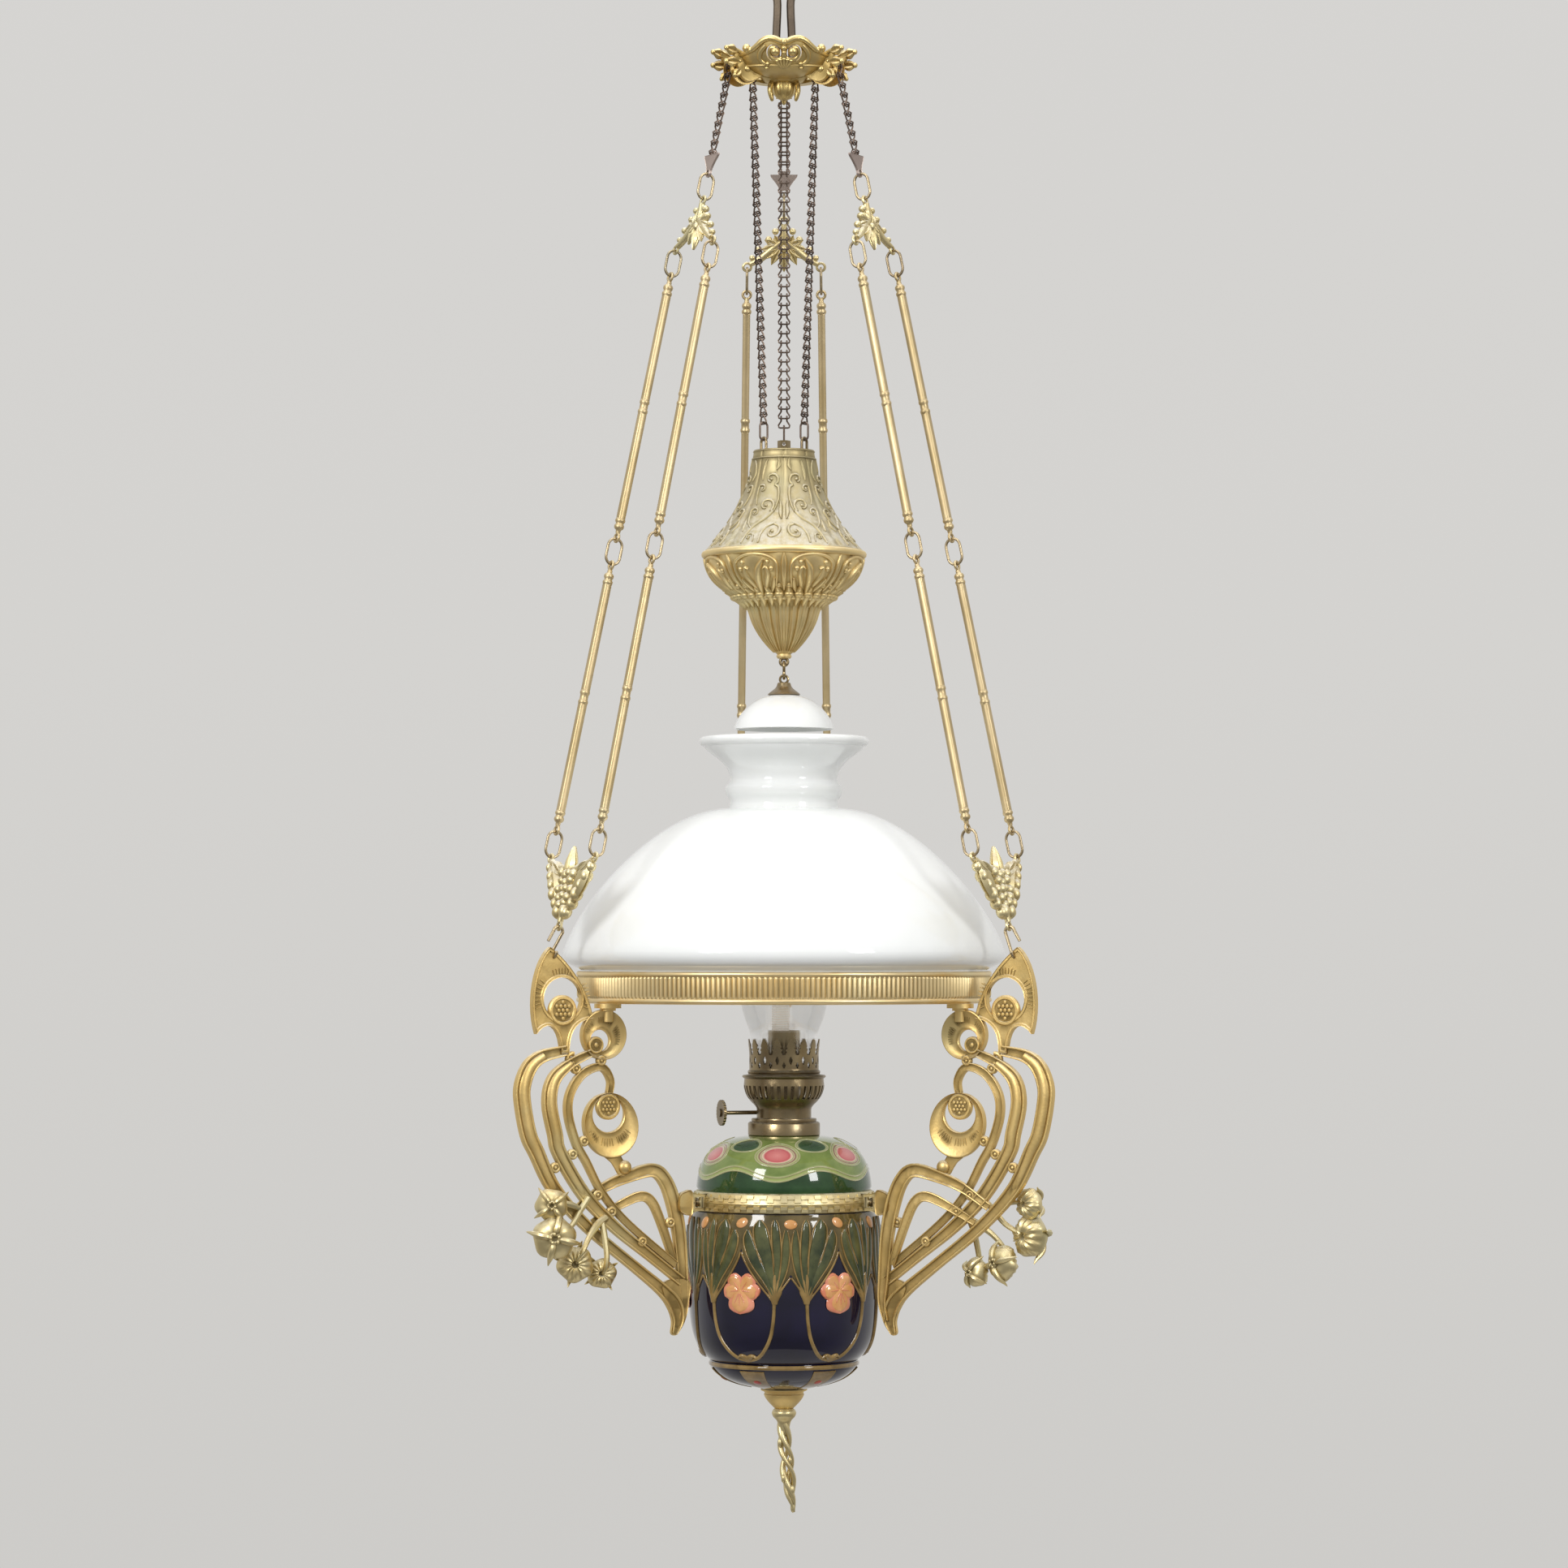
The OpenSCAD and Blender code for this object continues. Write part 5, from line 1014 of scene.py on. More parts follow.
def dish_panel(bm, mid):
    """A panel of the dish: an arched rim over two openings, a curled bud in each and a shell between them."""
    part = bmesh.new()
    edge = spline(arch_edge, 3)
    side_edge = [(48.5, 37), (48, 34), (46.3, 27), (42.5, 18.5), (33.3, 8), (25, 4), (20, 0)]
    outline = edge + side_edge + [(-turn, out) for turn, out in reversed(side_edge)]
    openings = [[(s * 10.2 + 7.6 * cos(a), 39.6 + 6.6 * sin(a)) for a in all_round(28)] for s in (-1, 1)]
    plate(part, [outline, *openings], 1.2, soft=0.5)
    cuts = [((turn, 0, 0), (1, 0, 0)) for turn in range(-46, 47, 4)]
    cuts += [((0, 0, out), (0, 0, 1)) for out in range(3, 51, 3)]
    for spot, way in cuts:
        every = [*part.verts, *part.edges, *part.faces]
        bmesh.ops.bisect_plane(part, geom=every, plane_co=spot, plane_no=way)
    for v in part.verts:
        v.co = on_dish(mid, v.co.x, v.co.z, -v.co.y)
    join(bm, part)

    def ridge(points, radii, lift=0.0, n=4):
        run = spline([(*p, r) for p, r in zip(points, radii)], n)
        wire(bm, [on_dish(mid, turn, out, lift) for turn, out, _ in run], [p[2] for p in run], 10)

    ridge(edge, [1.4 + 1.2 * cos(radians(turn) * 1.6) for turn, _ in edge], 0.6, 1)
    ridge([(0, 28), (0, 36), (0, 43), (0, 48.6)], [1.2, 2.0, 1.7, 2.2], 0.8)
    for out, r in ((48.2, 2.9), (43.6, 2.3), (40, 2.0)):
        bead(bm, on_dish(mid, 0, out, 1.6), r, u=12, v=8)
    for turn in (-7, -3.5, 0, 3.5, 7):
        ridge([(turn * 0.2, 26), (turn * 0.6, 30), (turn, 34.6 - abs(turn) * 0.2)], [0.9, 1.5, 1.6], 1.4)
        bead(bm, on_dish(mid, turn, 35 - abs(turn) * 0.2, 1.5), 1.7)
    ridge([(turn, 28.4 + 0.05 * abs(turn)) for turn in range(-44, 45, 8)], [1.1] * 12, 0.6, 2)
    for s in (-1, 1):
        bead(bm, on_dish(mid, s * 8.4, 40.8, 1.0), 4.0, (1, 1, 0.86), 14, 10)
        ridge([(s * 2, 36), (s * 6, 34.2), (s * 12, 35.4), (s * 14.4, 39.6), (s * 12, 43.6),
               (s * 8.4, 43.4)],
              [1.5, 1.7, 1.7, 1.6, 1.8, 2.2], 0.8)
        ridge([(s * 17, 46), (s * 23, 41), (s * 25, 35), (s * 20, 30.4)], [2.2, 2.2, 1.9, 1.3], 0.6)
        bead(bm, on_dish(mid, s * 38, 45), 3.4, u=12, v=10)
        bead(bm, on_dish(mid, s * 33, 43.4, 1.0), 2.4, u=10, v=8)
        for turn, out in ((18, 31.4), (20.5, 27)):
            bead(bm, on_dish(mid, s * turn, out, 1.2), 1.7)


def cheek(bm, place, s):
    """A leaf-shaped cheek beside a pulley, with rivet heads, a ball and three pointed tips."""
    part = bmesh.new()
    outline = spline([(16, 0), (22, -3.4), (28, -7), (34, -10), (39.5, -10.8), (45, -7.6), (48.5, 0.5),
                      (51.5, 8.5), (54, 14.5), (49, 14), (43, 11), (35, 8), (26, 4.6), (19, 2)], 3,
                     closed=True)
    plate(part, [outline], 1.6, soft=0.7)
    for x, z, r in ((39.5, -0.5, 2.8), (46, 5, 1.3), (31, -1, 1.2)):
        for face in (-1, 1):
            bead(part, (x, face * 1.3, z), r, (1, 0.55, 1), 12, 8)
    edge = spline([(16, 2.6), (26, 5.4), (35, 8), (43, 11), (52, 14.2)], 4)
    wire(part, [(x, s * 0.6, z) for x, z in edge], 1.7, 8)
    leaf(part, 49, 12, 11, 9, 14, y=s * 0.8, thick=3.0)
    leaf(part, 48, 4, 12, 8.5, -2, y=s * 1.2, thick=3.0)
    leaf(part, 46, -2, 8, 7, -44, y=s * 0.8, thick=2.6)
    for x, z, r in ((58.6, 14.2, 2.2), (58.8, 3.6, 2.2), (51, -6.6, 1.8)):
        bead(part, (x, s * 1.0, z), r, u=10, v=8)
    stamp(bm, as_mesh(part), place @ Matrix.Translation((0, s * 9.8, 0)))


@shaped(45, recess_shade_reach=4)
def acorn_mesh(bm):
    """A ribbed acorn under a moulded cap, with three leaf prongs."""
    lathe(bm, [(0, 7), (3, 7), (3, 0), (9.5, -0.2), (11, -1.2), (10.6, -2.6), (9, -3)]
          + bez((9, -3), (10.2, -9), (7.5, -16), (0, -16.8), 10), 72)
    for v in bm.verts:
        if v.co.z < -3.2:
            v.co.xy *= 1 + 0.03 * cos(14 * atan2(v.co.y, v.co.x))
    for angle in sides.values():
        a = radians(angle)
        drawn = ((9, -1), (12, -4), (13, -10), (11.4, -15.5), (10.6, -18))
        path = [(r * cos(a), r * sin(a), z) for r, z in drawn]
        wire(bm, spline(path, 3), [1.4, 1.8, 2.0, 2.2, 2.2, 2.2, 2.1, 2.0, 1.9, 1.8, 1.6, 1.3, 0.6], 8)


hang = Matrix.Translation((0, 0, pulley_z))
piece(loop_mesh(), "forged_loop", "canopy", iron, ("hanging_loop",))
piece(canopy_mesh(), "pierced_canopy", "canopy", belly_gilt, ("canopy",), hang)
piece(acorn_mesh(), "ribbed_acorn", "canopy", belly_gilt, ("acorn_finial",),
      Matrix.Translation((0, 0, pulley_z - 4.5)))


# Counterweight

weight_high = set_at(bez((24, 80), (29, 44), (41, 24), (62.8, 0), 28), belt_z)
weight_low = set_at(
    [(63, 0)] + curves((63, -3), ((62, -22), (51, -28), (41, -34), 16),
                       ((37, -40), (29, -41), (27, -50), 10), ((24, -63), (13, -76), (5.5, -82), 14)),
    belt_z)
weight_panels = 8
panel_turn = 360 / weight_panels
panel_mids = [(k + 0.5) * panel_turn for k in range(weight_panels)]


@shaped(50, recess_shade_reach=5)
def weight_upper_mesh(bm):
    """The upper shell: eight panels parted by creases, each with raised scrolling stems and leaves."""
    lathe(bm, set_at([(2.7, 80), (20, 80), (23, 79.8)], belt_z) + weight_high, 192)
    for v in bm.verts:
        off = abs((degrees(atan2(v.co.y, v.co.x)) + panel_turn / 2) % panel_turn - panel_turn / 2)
        if hypot(v.co.x, v.co.y) > 22.5:
            v.co.xy *= 1 - 0.03 * max(0, 1 - off / 4)
    for k, mid in enumerate(panel_mids):
        draw_scrolls(bm, mid, 1 if k % 2 else -1)
    for r, up in ((24, 79), (25.2, 73)):
        hoop(bm, r, belt_z + up, 0.7, 64, 6)


def draw_scrolls(bm, mid, s):
    """A panel's stems that end in open curls, with small leaves where they part, drawn over the belt."""
    def turned(x, up):
        return mid + s * degrees(x / radius_at(weight_high, belt_z + up))

    def raised(points, width, height, n):
        run = [(turned(x, up), belt_z + up, width * share) for x, up, share in points]
        vine(bm, weight_high, run, DOME, height, n, lift=-0.2)

    def curled(stem, centre, r, start, turn, width):
        end = [(x, up, 1 - 0.45 * i / 12) for i, (x, up) in enumerate(curl(centre, r, r * 0.3, start, turn,
                                                                           12))]
        raised(stem + end, width, 1.1, 2)
        x, up = centre
        bead(bm, on_skin(weight_high, radians(turned(x, up)), belt_z + up)[0], 1.3)

    curled([(-12, 2, 0.5), (-10, 10, 0.9), (-5, 17, 1), (2, 22, 1), (7, 28, 1)], (0.6, 33), 6.8, -0.7, 5.6,
           3.2)
    curled([(8, 28, 0.5), (9.6, 38, 0.9), (8, 48, 1)], (1.6, 54.5), 6.0, -0.9, 5.6, 2.8)
    curled([(-7, 14, 0.5), (-11.5, 19, 0.9), (-12, 26, 1)], (-8.2, 27.5), 4.0, 2.9, -5.4, 2.4)
    curled([(3, 2, 0.6), (2.4, 9, 0.9), (5, 15, 1), (11, 18, 1)], (11.6, 11), 6.6, 1.6, -5.8, 3.2)
    curled([(-2, 3, 0.6), (-3.4, 8, 0.9)], (-6.6, 7), 3.4, 0.2, 5.2, 2.2)
    curled([(-8, 34, 0.5), (-9.4, 42, 0.9), (-8.4, 49, 1)], (-5.4, 47), 3.4, 2.2, -5.0, 2.2)
    for leaflet in ([(15.6, 22, 0.3), (13.6, 27, 1), (12.4, 33, 0.8), (10.8, 37, 0.2)],
                    [(-6, 54, 0.3), (-6.6, 60, 1), (-5, 67, 0.7), (-3, 71, 0.2)],
                    [(5, 62, 0.3), (6.4, 66, 1), (6, 72, 0.3)],
                    [(-14.6, 12, 0.3), (-15, 17, 1), (-13.6, 22, 0.3)]):
        raised(leaflet, 3.6, 1.0, 3)


@shaped(50, recess_shade_reach=6)
def weight_lower_mesh(bm):
    """The lower shell: a belt bead, arched leaves with berries, a ruffle of leaf tips and a fluted point."""
    lathe(bm, weight_low + set_at([(5.6, -82.6), (6.2, -84), (5, -85.6), (0, -86)], belt_z), 192)
    for v in bm.verts:
        angle = atan2(v.co.y, v.co.x)
        drop = belt_z - v.co.z
        if 42 < drop < 81:
            v.co.xy *= 1 + 0.04 * cos(20 * angle)
        elif 4 < drop <= 36:
            v.co.xy *= 1 + 0.012 * cos(16 * angle) * sin(drop / 4)
    hoop(bm, 62.8, belt_z - 3.2, 3, 96, 10)
    for k, mid in enumerate(panel_mids):
        draw_bowl(bm, mid, 5 if k % 2 else -5)


def draw_bowl(bm, mid, lean):
    """A panel's arch, leaves and berries, and the ruffle and flutes below them, drawn under the belt."""
    def raised(points, height, n=4):
        vine(bm, weight_low, [(mid + a, belt_z - drop, w) for a, drop, w in points], DOME, height, n)

    def berry(off, drop, r, lift=0.0, stretch=(1, 1, 1), u=8, v=6):
        bead(bm, on_skin(weight_low, radians(mid + off), belt_z - drop, lift)[0], r, stretch, u, v)

    half_arch = [(-15, 31, 2), (-17, 22, 3), (-16, 13, 3.2), (-9, 8, 3.2)]
    raised(half_arch + [(0, 6.6, 3.2)] + [(-a, drop, w) for a, drop, w in reversed(half_arch)], 1.9)
    for s in (-1, 1):
        raised([(s * 22.4, 33, 2), (s * 21.8, 24, 3.2), (s * 21.6, 14, 3), (s * 22.4, 6.4, 2)], 1.8)
        raised([(s * 4, 34, 2.4), (s * 7, 28, 5), (s * 9.6, 22, 5), (s * 8.4, 17, 3), (s * 5.8, 18, 1.4)],
               1.9)
        raised([(s * 9, 35, 2.4), (s * 13, 30, 4.6), (s * 14.4, 25, 2)], 1.9)
        for off, drop, r in ((12.6, 18, 2.2), (10, 13, 2.0), (17.6, 30, 2.4)):
            berry(s * off, drop, r)
    raised([(-lean * 0.4, 36, 3), (0, 27, 6.4), (lean * 0.5, 18, 6), (lean * 1.4, 11, 2)], 2.6)
    for off in (-16.9, -5.6, 5.6, 16.9):
        raised([(off - 1, 31, 3), (off, 35, 8), (off + 0.8, 39, 7.4), (off, 43, 3), (off, 45, 1)], 3.0, 3)
        raised([(off, 42, 3), (off, 50, 3.6), (off, 62, 2.6), (off, 74, 1.2), (off, 80, 0.6)], 1.2, 3)
        berry(off, 36.5, 4.2, 0.6, (1, 1, 0.7), 10, 8)
        berry(off + 5.6, 38.6, 3.2, 0.4, (1, 1, 0.8), 10, 8)


piece(weight_upper_mesh(), "weight_scroll_shell", "counterweight", weight_gilt,
      ("weight_upper_shell",))
piece(weight_lower_mesh(), "weight_leaf_shell", "counterweight", bowl_gilt,
      ("weight_lower_shell",))


# Smoke bell

@shaped(60)
def bell_mesh(bm):
    """The smoke bell's shallow dome."""
    outline = [(2.7, bell_top), (9, bell_top)]
    outline += bez((12, bell_top - 0.2), (24, bell_top - 3), (37, bell_z + 13), (40, bell_z), 20)
    lathe(bm, shell(outline, 2.4), 96, closed=True)


@shaped()
def bell_cap_mesh(bm):
    """The turned cap over the bell, its nut inside and its eye."""
    outline = [(0, 10), (4.6, 10), (5.2, 9.4)] + bez((5.4, 8.8), (6, 5), (9.5, 4), (12.6, 1), 8)
    outline += [(13, 0.4), (12.4, 0), (0, 0)]
    lathe(bm, set_at(outline, bell_top), 48)
    nut = [(0, 0), (2.4, 0), (2.4, -2.5), (6.4, -2.6), (6.4, -5.4), (0, -5.5)]
    lathe(bm, set_at(nut, bell_top), 24)
    wire(bm, [(x, 0, z) for x, z in circle((0, bell_top + 12.5), 3.2, 20)], 1, 8, closed=True)


piece(bell_mesh(), "opal_smoke_bell", "smoke_bell", opal, ("smoke_bell",))
piece(bell_cap_mesh(), "turned_bell_cap", "smoke_bell", old_brass, ("bell_cap",))


# Shade and its ring

shade_outline = set_at(
    curves((66, 205), ((64, 195), (47, 193), (43, 178), 12), ((41, 171), (48, 172), (47, 166), 8),
           ((46, 159), (41, 161), (44, 152), 8), ((99, 152), (162, 80), (175, 39), 30),
           ((177, 29), (169.2, 28), (161.2, 24), 12)) + [(161.2, 16), (161.2, 8), (161.2, 0.2)], seat_z)


@shaped(60)
def shade_mesh(bm):
    """The opal dome, with a rolled lip."""
    lathe(bm, shell(shade_outline, 2.5), 160, closed=True)
    lathe(bm, circle((63.6, seat_z + 205), 4, 14), 160, closed=True)


@shaped(50, recess_shade_reach=3)
def shade_ring_mesh(bm):
    """A pressed band with fine flutes between two beads, over a ledge that carries the shade."""
    ribs = 250
    low, high = seat_z + 3.2, seat_z + 18.6
    lathe(bm, set_at([(161.9, 2), (163, 1.5), (163, 0), (163.2, -1)], high)
          + set_at([(163.2, 1), (163, 0), (163, -1.5)], low), ribs * 4)
    for v in bm.verts:
        if low < v.co.z < high:
            v.co.xy *= 1 + 0.0056 * cos(ribs * atan2(v.co.y, v.co.x))
    for up in (0.4, 21):
        lathe(bm, circle((162.6, seat_z + up), 2.1, 10), 128, closed=True)
    for inner, outer, foot, top in ((147, 162.6, -2, -0.1), (161.85, 162.4, 0, 21)):
        section = [(inner, foot), (outer, foot), (outer, top), (inner, top)]
        lathe(bm, set_at(section, seat_z), 128, closed=True)


piece(shade_mesh(), "opal_shade", "lamp", opal, ("shade",))
piece(shade_ring_mesh(), "fluted_ring", "lamp", ring_gilt, ("shade_ring",))


# Font and vase

dome_outline = bez((29.5, collar_z), (55.5, collar_z - 3), (67.5, collar_z - 14), (69.5, dome_base + 3), 32)
dome_outline.append((68.2, dome_base))
vase_outline = (
    [(71.5, vase_top)] + curves((72.5, -986), ((77, -995), (76, -1023), (75.5, -1047), 18),
                                ((75, -1081), (70, -1091), (58, -1101), 22))
    + [(59, -1103)] + curves((58, -1105.5), ((51, -1115), (40, -1120), (18.5, vase_low), 18)))

# The font's ovals: the first pink one's direction, and height and reach of the pink and the dark ones
ovals = 6
oval_start = 25
oval_turn = 360 / ovals
pink_z = -937.5
pink_reach = 60
dark_z = -930.5
dark_reach = 50
wave_h = 4.2

# The vase's flowers: the directions of their middles, the turn from each to its stems and their height
unit_turn = 60
unit_start = 244
unit_mids = [unit_start + unit_turn * k for k in range(6)]
stem_turn = 20.5
flower_z = vase_top + 3


def angle_wave(at, repeats, start):
    """The angle to the nearest of equal spots round the axis, in radians, and the height in metres."""
    parts = split(at)
    angle = sums("ARCTAN2", parts["Y"], parts["X"])
    turned = sums("MULTIPLY", sums("SUBTRACT", angle, radians(start)), repeats / 2)
    near = sums("DIVIDE", sums("ARCSINE", sums("SINE", turned)), repeats / 2)
    return near, parts["Z"]


def oval(near, height, reach, centre, half_w, half_h):
    """How far out of an oval a point lies: 1 on its edge."""
    u = sums("MULTIPLY", near, reach / half_w)
    v = sums("DIVIDE", sums("SUBTRACT", height, centre), half_h)
    return sums("SQRT", sums("ADD", sums("MULTIPLY", u, u), sums("MULTIPLY", v, v)))


def glazed(shader, at, colour):
    """Gives a finish its colour under a thick clear glaze."""
    feed(shader, {
        "Base Color": colour, "Roughness": grey(noise(at, 45, 3), 0.06, 0.2),
        "Coat Weight": 1.0, "Coat Roughness": 0.03, "Specular IOR Level": 0.12})
    bump(shader, noise(at, 22, 2), 0.02, 0.002)


def font_glaze():
    """Dark green under a wavy light band, with pink ovals and dark ones between."""
    finish, shader, at = nodes_of("font_glaze")
    blot = noise(at, 55, 5)
    near, z = angle_wave(at, ovals, oval_start)
    wave = sums("MULTIPLY", sums("COSINE", sums("MULTIPLY", near, ovals)), wave_h * MILLIMETRE)
    over = grey(sums("ADD", z, wave), 0, 1, -0.9540, -0.9440)
    deep = ramp(blot, [(0.35, (0.012, 0.045, 0.012)), (0.7, (0.03, 0.085, 0.026))])
    fresh = ramp(blot, [(0.35, (0.15, 0.22, 0.05)), (0.7, (0.27, 0.34, 0.1))])
    lines = ramp(over, [
        (0.0, (0.02, 0.06, 0.02)), (0.06, (0.50, 0.52, 0.27)), (0.17, (0.36, 0.42, 0.14)),
        (0.3, (0.30, 0.36, 0.11)), (0.36, (0.06, 0.09, 0.03)), (0.42, (0.4, 0.45, 0.2)),
        (0.5, (0.25, 0.32, 0.1))])
    colour = blend_colours(grey(over, 0, 1, 0.44, 0.56), lines, fresh)
    colour = blend_colours(grey(over, 1, 0, 0.0, 0.03), colour, deep)
    between_near = angle_wave(at, ovals, oval_start + oval_turn / 2)[0]
    dark = oval(between_near, z, dark_reach * MILLIMETRE, dark_z * MILLIMETRE, 0.0125, 0.0046)
    ring = ramp(grey(dark, 0, 1, 0, 1.6), [
        (0.0, (0.03, 0.07, 0.03)), (0.52, (0.05, 0.1, 0.045)), (0.58, (0.42, 0.45, 0.24)),
        (0.66, (0.25, 0.31, 0.1))])
    colour = blend_colours(grey(dark, 1, 0, 1.05, 1.1), colour, ring)
    pink = oval(near, z, pink_reach * MILLIMETRE, pink_z * MILLIMETRE, 0.0165, 0.0082)
    # The pink oval and its outlines are the glaze's pattern; the lighter pink at the oval's middle is a
    # painted highlight.
    rose = ramp(grey(pink, 0, 1, 0, 1.6), [
        (0.0, (0.72, 0.27, 0.25)), (0.3, (0.62, 0.17, 0.17)), (0.37, (0.55, 0.11, 0.12)),
        (0.42, (0.72, 0.55, 0.42)), (0.5, (0.68, 0.52, 0.38)), (0.54, (0.2, 0.09, 0.06)),
        (0.58, (0.5, 0.48, 0.27)), (0.64, (0.3, 0.36, 0.12))])
    colour = blend_colours(grey(pink, 1, 0, 1.0, 1.06), colour, rose)
    glazed(shader, at, colour)
    return finish


def glaze(name, low, high, scale):
    """A glaze of one hue that pools darker in places."""
    finish, shader, at = nodes_of(name)
    glazed(shader, at, ramp(noise(at, scale, 4), [(0.35, low), (0.68, high)]))
    return finish


navy = glaze("navy_glaze", (0.0030, 0.0022, 0.013), (0.008, 0.006, 0.030), 25)
olive = glaze("olive_glaze", (0.075, 0.058, 0.016), (0.16, 0.115, 0.04), 60)
leaf_green = glaze("leaf_glaze", (0.032, 0.045, 0.018), (0.12, 0.125, 0.045), 60)
slip_gold = glaze("slip_gold", (0.20, 0.125, 0.036), (0.36, 0.235, 0.08), 80)
orange = glaze("orange_glaze", (0.66, 0.32, 0.10), (0.80, 0.42, 0.19), 90)
pink = glaze("pink_glaze", (0.66, 0.21, 0.11), (0.82, 0.34, 0.22), 90)
pale_slip = glaze("pale_slip", (0.38, 0.38, 0.18), (0.55, 0.53, 0.32), 80)
red_glaze = glaze("red_glaze", (0.4, 0.05, 0.04), (0.55, 0.1, 0.07), 90)
font_finish = font_glaze()


@shaped(45)
def font_mesh(bm):
    """The font's dome and the plain bowl that stands in the vase."""
    bowl = [(61.5, dome_base), (61.5, -1055), (53.5, -1063), (0, -1063)]
    lathe(bm, [(19.3, collar_z), (28, collar_z)] + dome_outline + bowl, 192)


def oval_line(mid, reach, z, half_w, half_h, width):
    """Points round an oval on the font."""
    return [(mid + degrees(half_w * cos(a) / reach), z + half_h * sin(a), width) for a in all_round(28)]


@shaped(60)
def font_lines_mesh(bm):
    """Raised slip lines round the ovals and along the wavy band."""
    lines = []
    for k in range(ovals):
        mid = oval_start + oval_turn * k
        lines.append(oval_line(mid, pink_reach, pink_z, 17.6, 8.8, 1.2))
        lines.append(oval_line(mid, pink_reach, pink_z, 12.6, 6.2, 0.9))
        lines.append(oval_line(mid + oval_turn / 2, dark_reach, dark_z, 13.2, 4.8, 1.0))
    for level in (-953.6, -950.4):
        lines.append([(a, level - wave_h * cos(radians(ovals * (a - oval_start))), 1.1)
                      for a in range(0, 360, 3)])
    for line in lines:
        vine(bm, dome_outline, line, ROUND, 0.5, 1, closed=True)


@shaped(45)
def vase_mesh(bm):
    """The vase's plain body."""
    lathe(bm, shell(vase_outline, 3.4), 160, closed=True)


def mantle_edge(angle):
    """How far down the leaves' ground reaches at an angle from the middle of a flower, in degrees."""
    off = abs(angle)
    if off <= stem_turn:
        return 27 + 41 * (off / stem_turn) ** 0.72
    return 68 - 20 * ((off - stem_turn) / (unit_turn / 2 - stem_turn)) ** 0.8


@shaped(60)
def mantle_mesh(bm):
    """The olive ground behind the leaves, pointed over each flower."""
    rows = 20
    lathe(bm, [(74, -k) for k in range(rows + 1)], 360)
    for v in bm.verts:
        row = round(-v.co.z)
        angle = atan2(v.co.y, v.co.x)
        off = (degrees(angle) - unit_start + unit_turn / 2) % unit_turn - unit_turn / 2
        z = vase_top - 0.1 - (mantle_edge(off) - 0.1) * (row / rows) ** 1.6
        lift = 0.55 if 0 < row < rows else -0.5
        v.co = on_skin(vase_outline, angle, z, lift)[0]


def each_unit(draw):
    """Calls draw once for each side of each flower, with a way to place (degrees, drop, width) points."""
    for mid in unit_mids:
        for s in (-1, 1):
            draw(lambda points: [(mid + s * a, vase_top - drop, w) for a, drop, w in points])


leaf_shapes = [
    [(19.4, 62, 1.5), (15.5, 50, 6), (10.2, 38, 9), (6.4, 27, 9), (4.6, 18, 7), (4.4, 12, 2)],
    [(20.2, 62, 1.5), (18.4, 49, 7), (15.8, 34, 10.6), (13.2, 20, 12), (11.8, 10, 10), (11.4, 4.5, 2.5)],
    [(21, 61, 1.2), (21.7, 47, 4.6), (22, 32, 6.2), (21.4, 18, 6.8), (20.8, 8, 5), (20.6, 4.5, 1.5)],
    [(21.8, 60, 1.2), (25, 47, 4.6), (26.8, 34, 6), (27.2, 22, 5.8), (27.2, 12, 2)]]


@shaped(60)
def vase_leaves_mesh(bm):
    """Four raised leaves on each side of each flower."""
    def draw(place):
        for shape in leaf_shapes:
            vine(bm, vase_outline, place(shape), DOME, 1.5, 4, lift=0.7)

    each_unit(draw)


@shaped(60)
def vase_lines_mesh(bm):
    """Raised gold slip: outlines of the leaves, calyxes, stems, knots, a band and six panels."""
    def draw(place):
        for shape in leaf_shapes:
            for s in (-1, 1):
                edge = [(a + s * degrees(w / 2 / 75.5) * 1.05, drop, 1.3) for a, drop, w in shape]
                vine(bm, vase_outline, place(edge), ROUND, 0.8, 4, lift=0.9)
        rim = [(a, mantle_edge(a), 1.7) for a in (0.3, 2, 5, 9, 13, 17, 20.3, 23, 26, 29.7)]
        vine(bm, vase_outline, place(rim), ROUND, 0.9, 3, lift=0.3)
        calyx = [(20.9, 46, 1.5), (20.9, 50.5, 7.5), (20.8, 56, 11), (20.6, 61, 10.4), (20.5, 65, 7),
                 (20.5, 69, 4.4)]
        vine(bm, vase_outline, place(calyx), DOME, 1.5, 3, lift=0.7)
        stem = [(20.5, 67, 4.6), (20.2, 70, 3.0), (19.6, 82, 2.9), (17.6, 95, 3.0), (13.5, 105, 3.2),
                (8, 111.5, 3.4), (0, 114, 3.6)]
        vine(bm, vase_outline, place(stem), DOME, 1.3, 4, lift=0.3)
        knot = [(0, 113, 6), (3, 110.5, 4.5), (5, 110, 2.5), (7, 111.4, 1.2)]
        vine(bm, vase_outline, place(knot), DOME, 1.5, 3, lift=0.4)

    each_unit(draw)
    vine(bm, vase_outline, [(a, -1103, 3.4) for a in range(0, 360, 3)], ROUND, 0.8, 1, closed=True)
    flat = [(-1, -0.5), (-0.97, 0.8), (-0.5, 1), (0, 1), (0.5, 1), (0.97, 0.8), (1, -0.5)]
    panel = [(-1106.2, 21), (-1110, 19.5), (-1115, 17), (-1119, 14), (-1121.8, 10)]
    for mid in unit_mids:
        vine(bm, vase_outline, [(mid, z, width) for z, width in panel], flat, 0.6, 3)


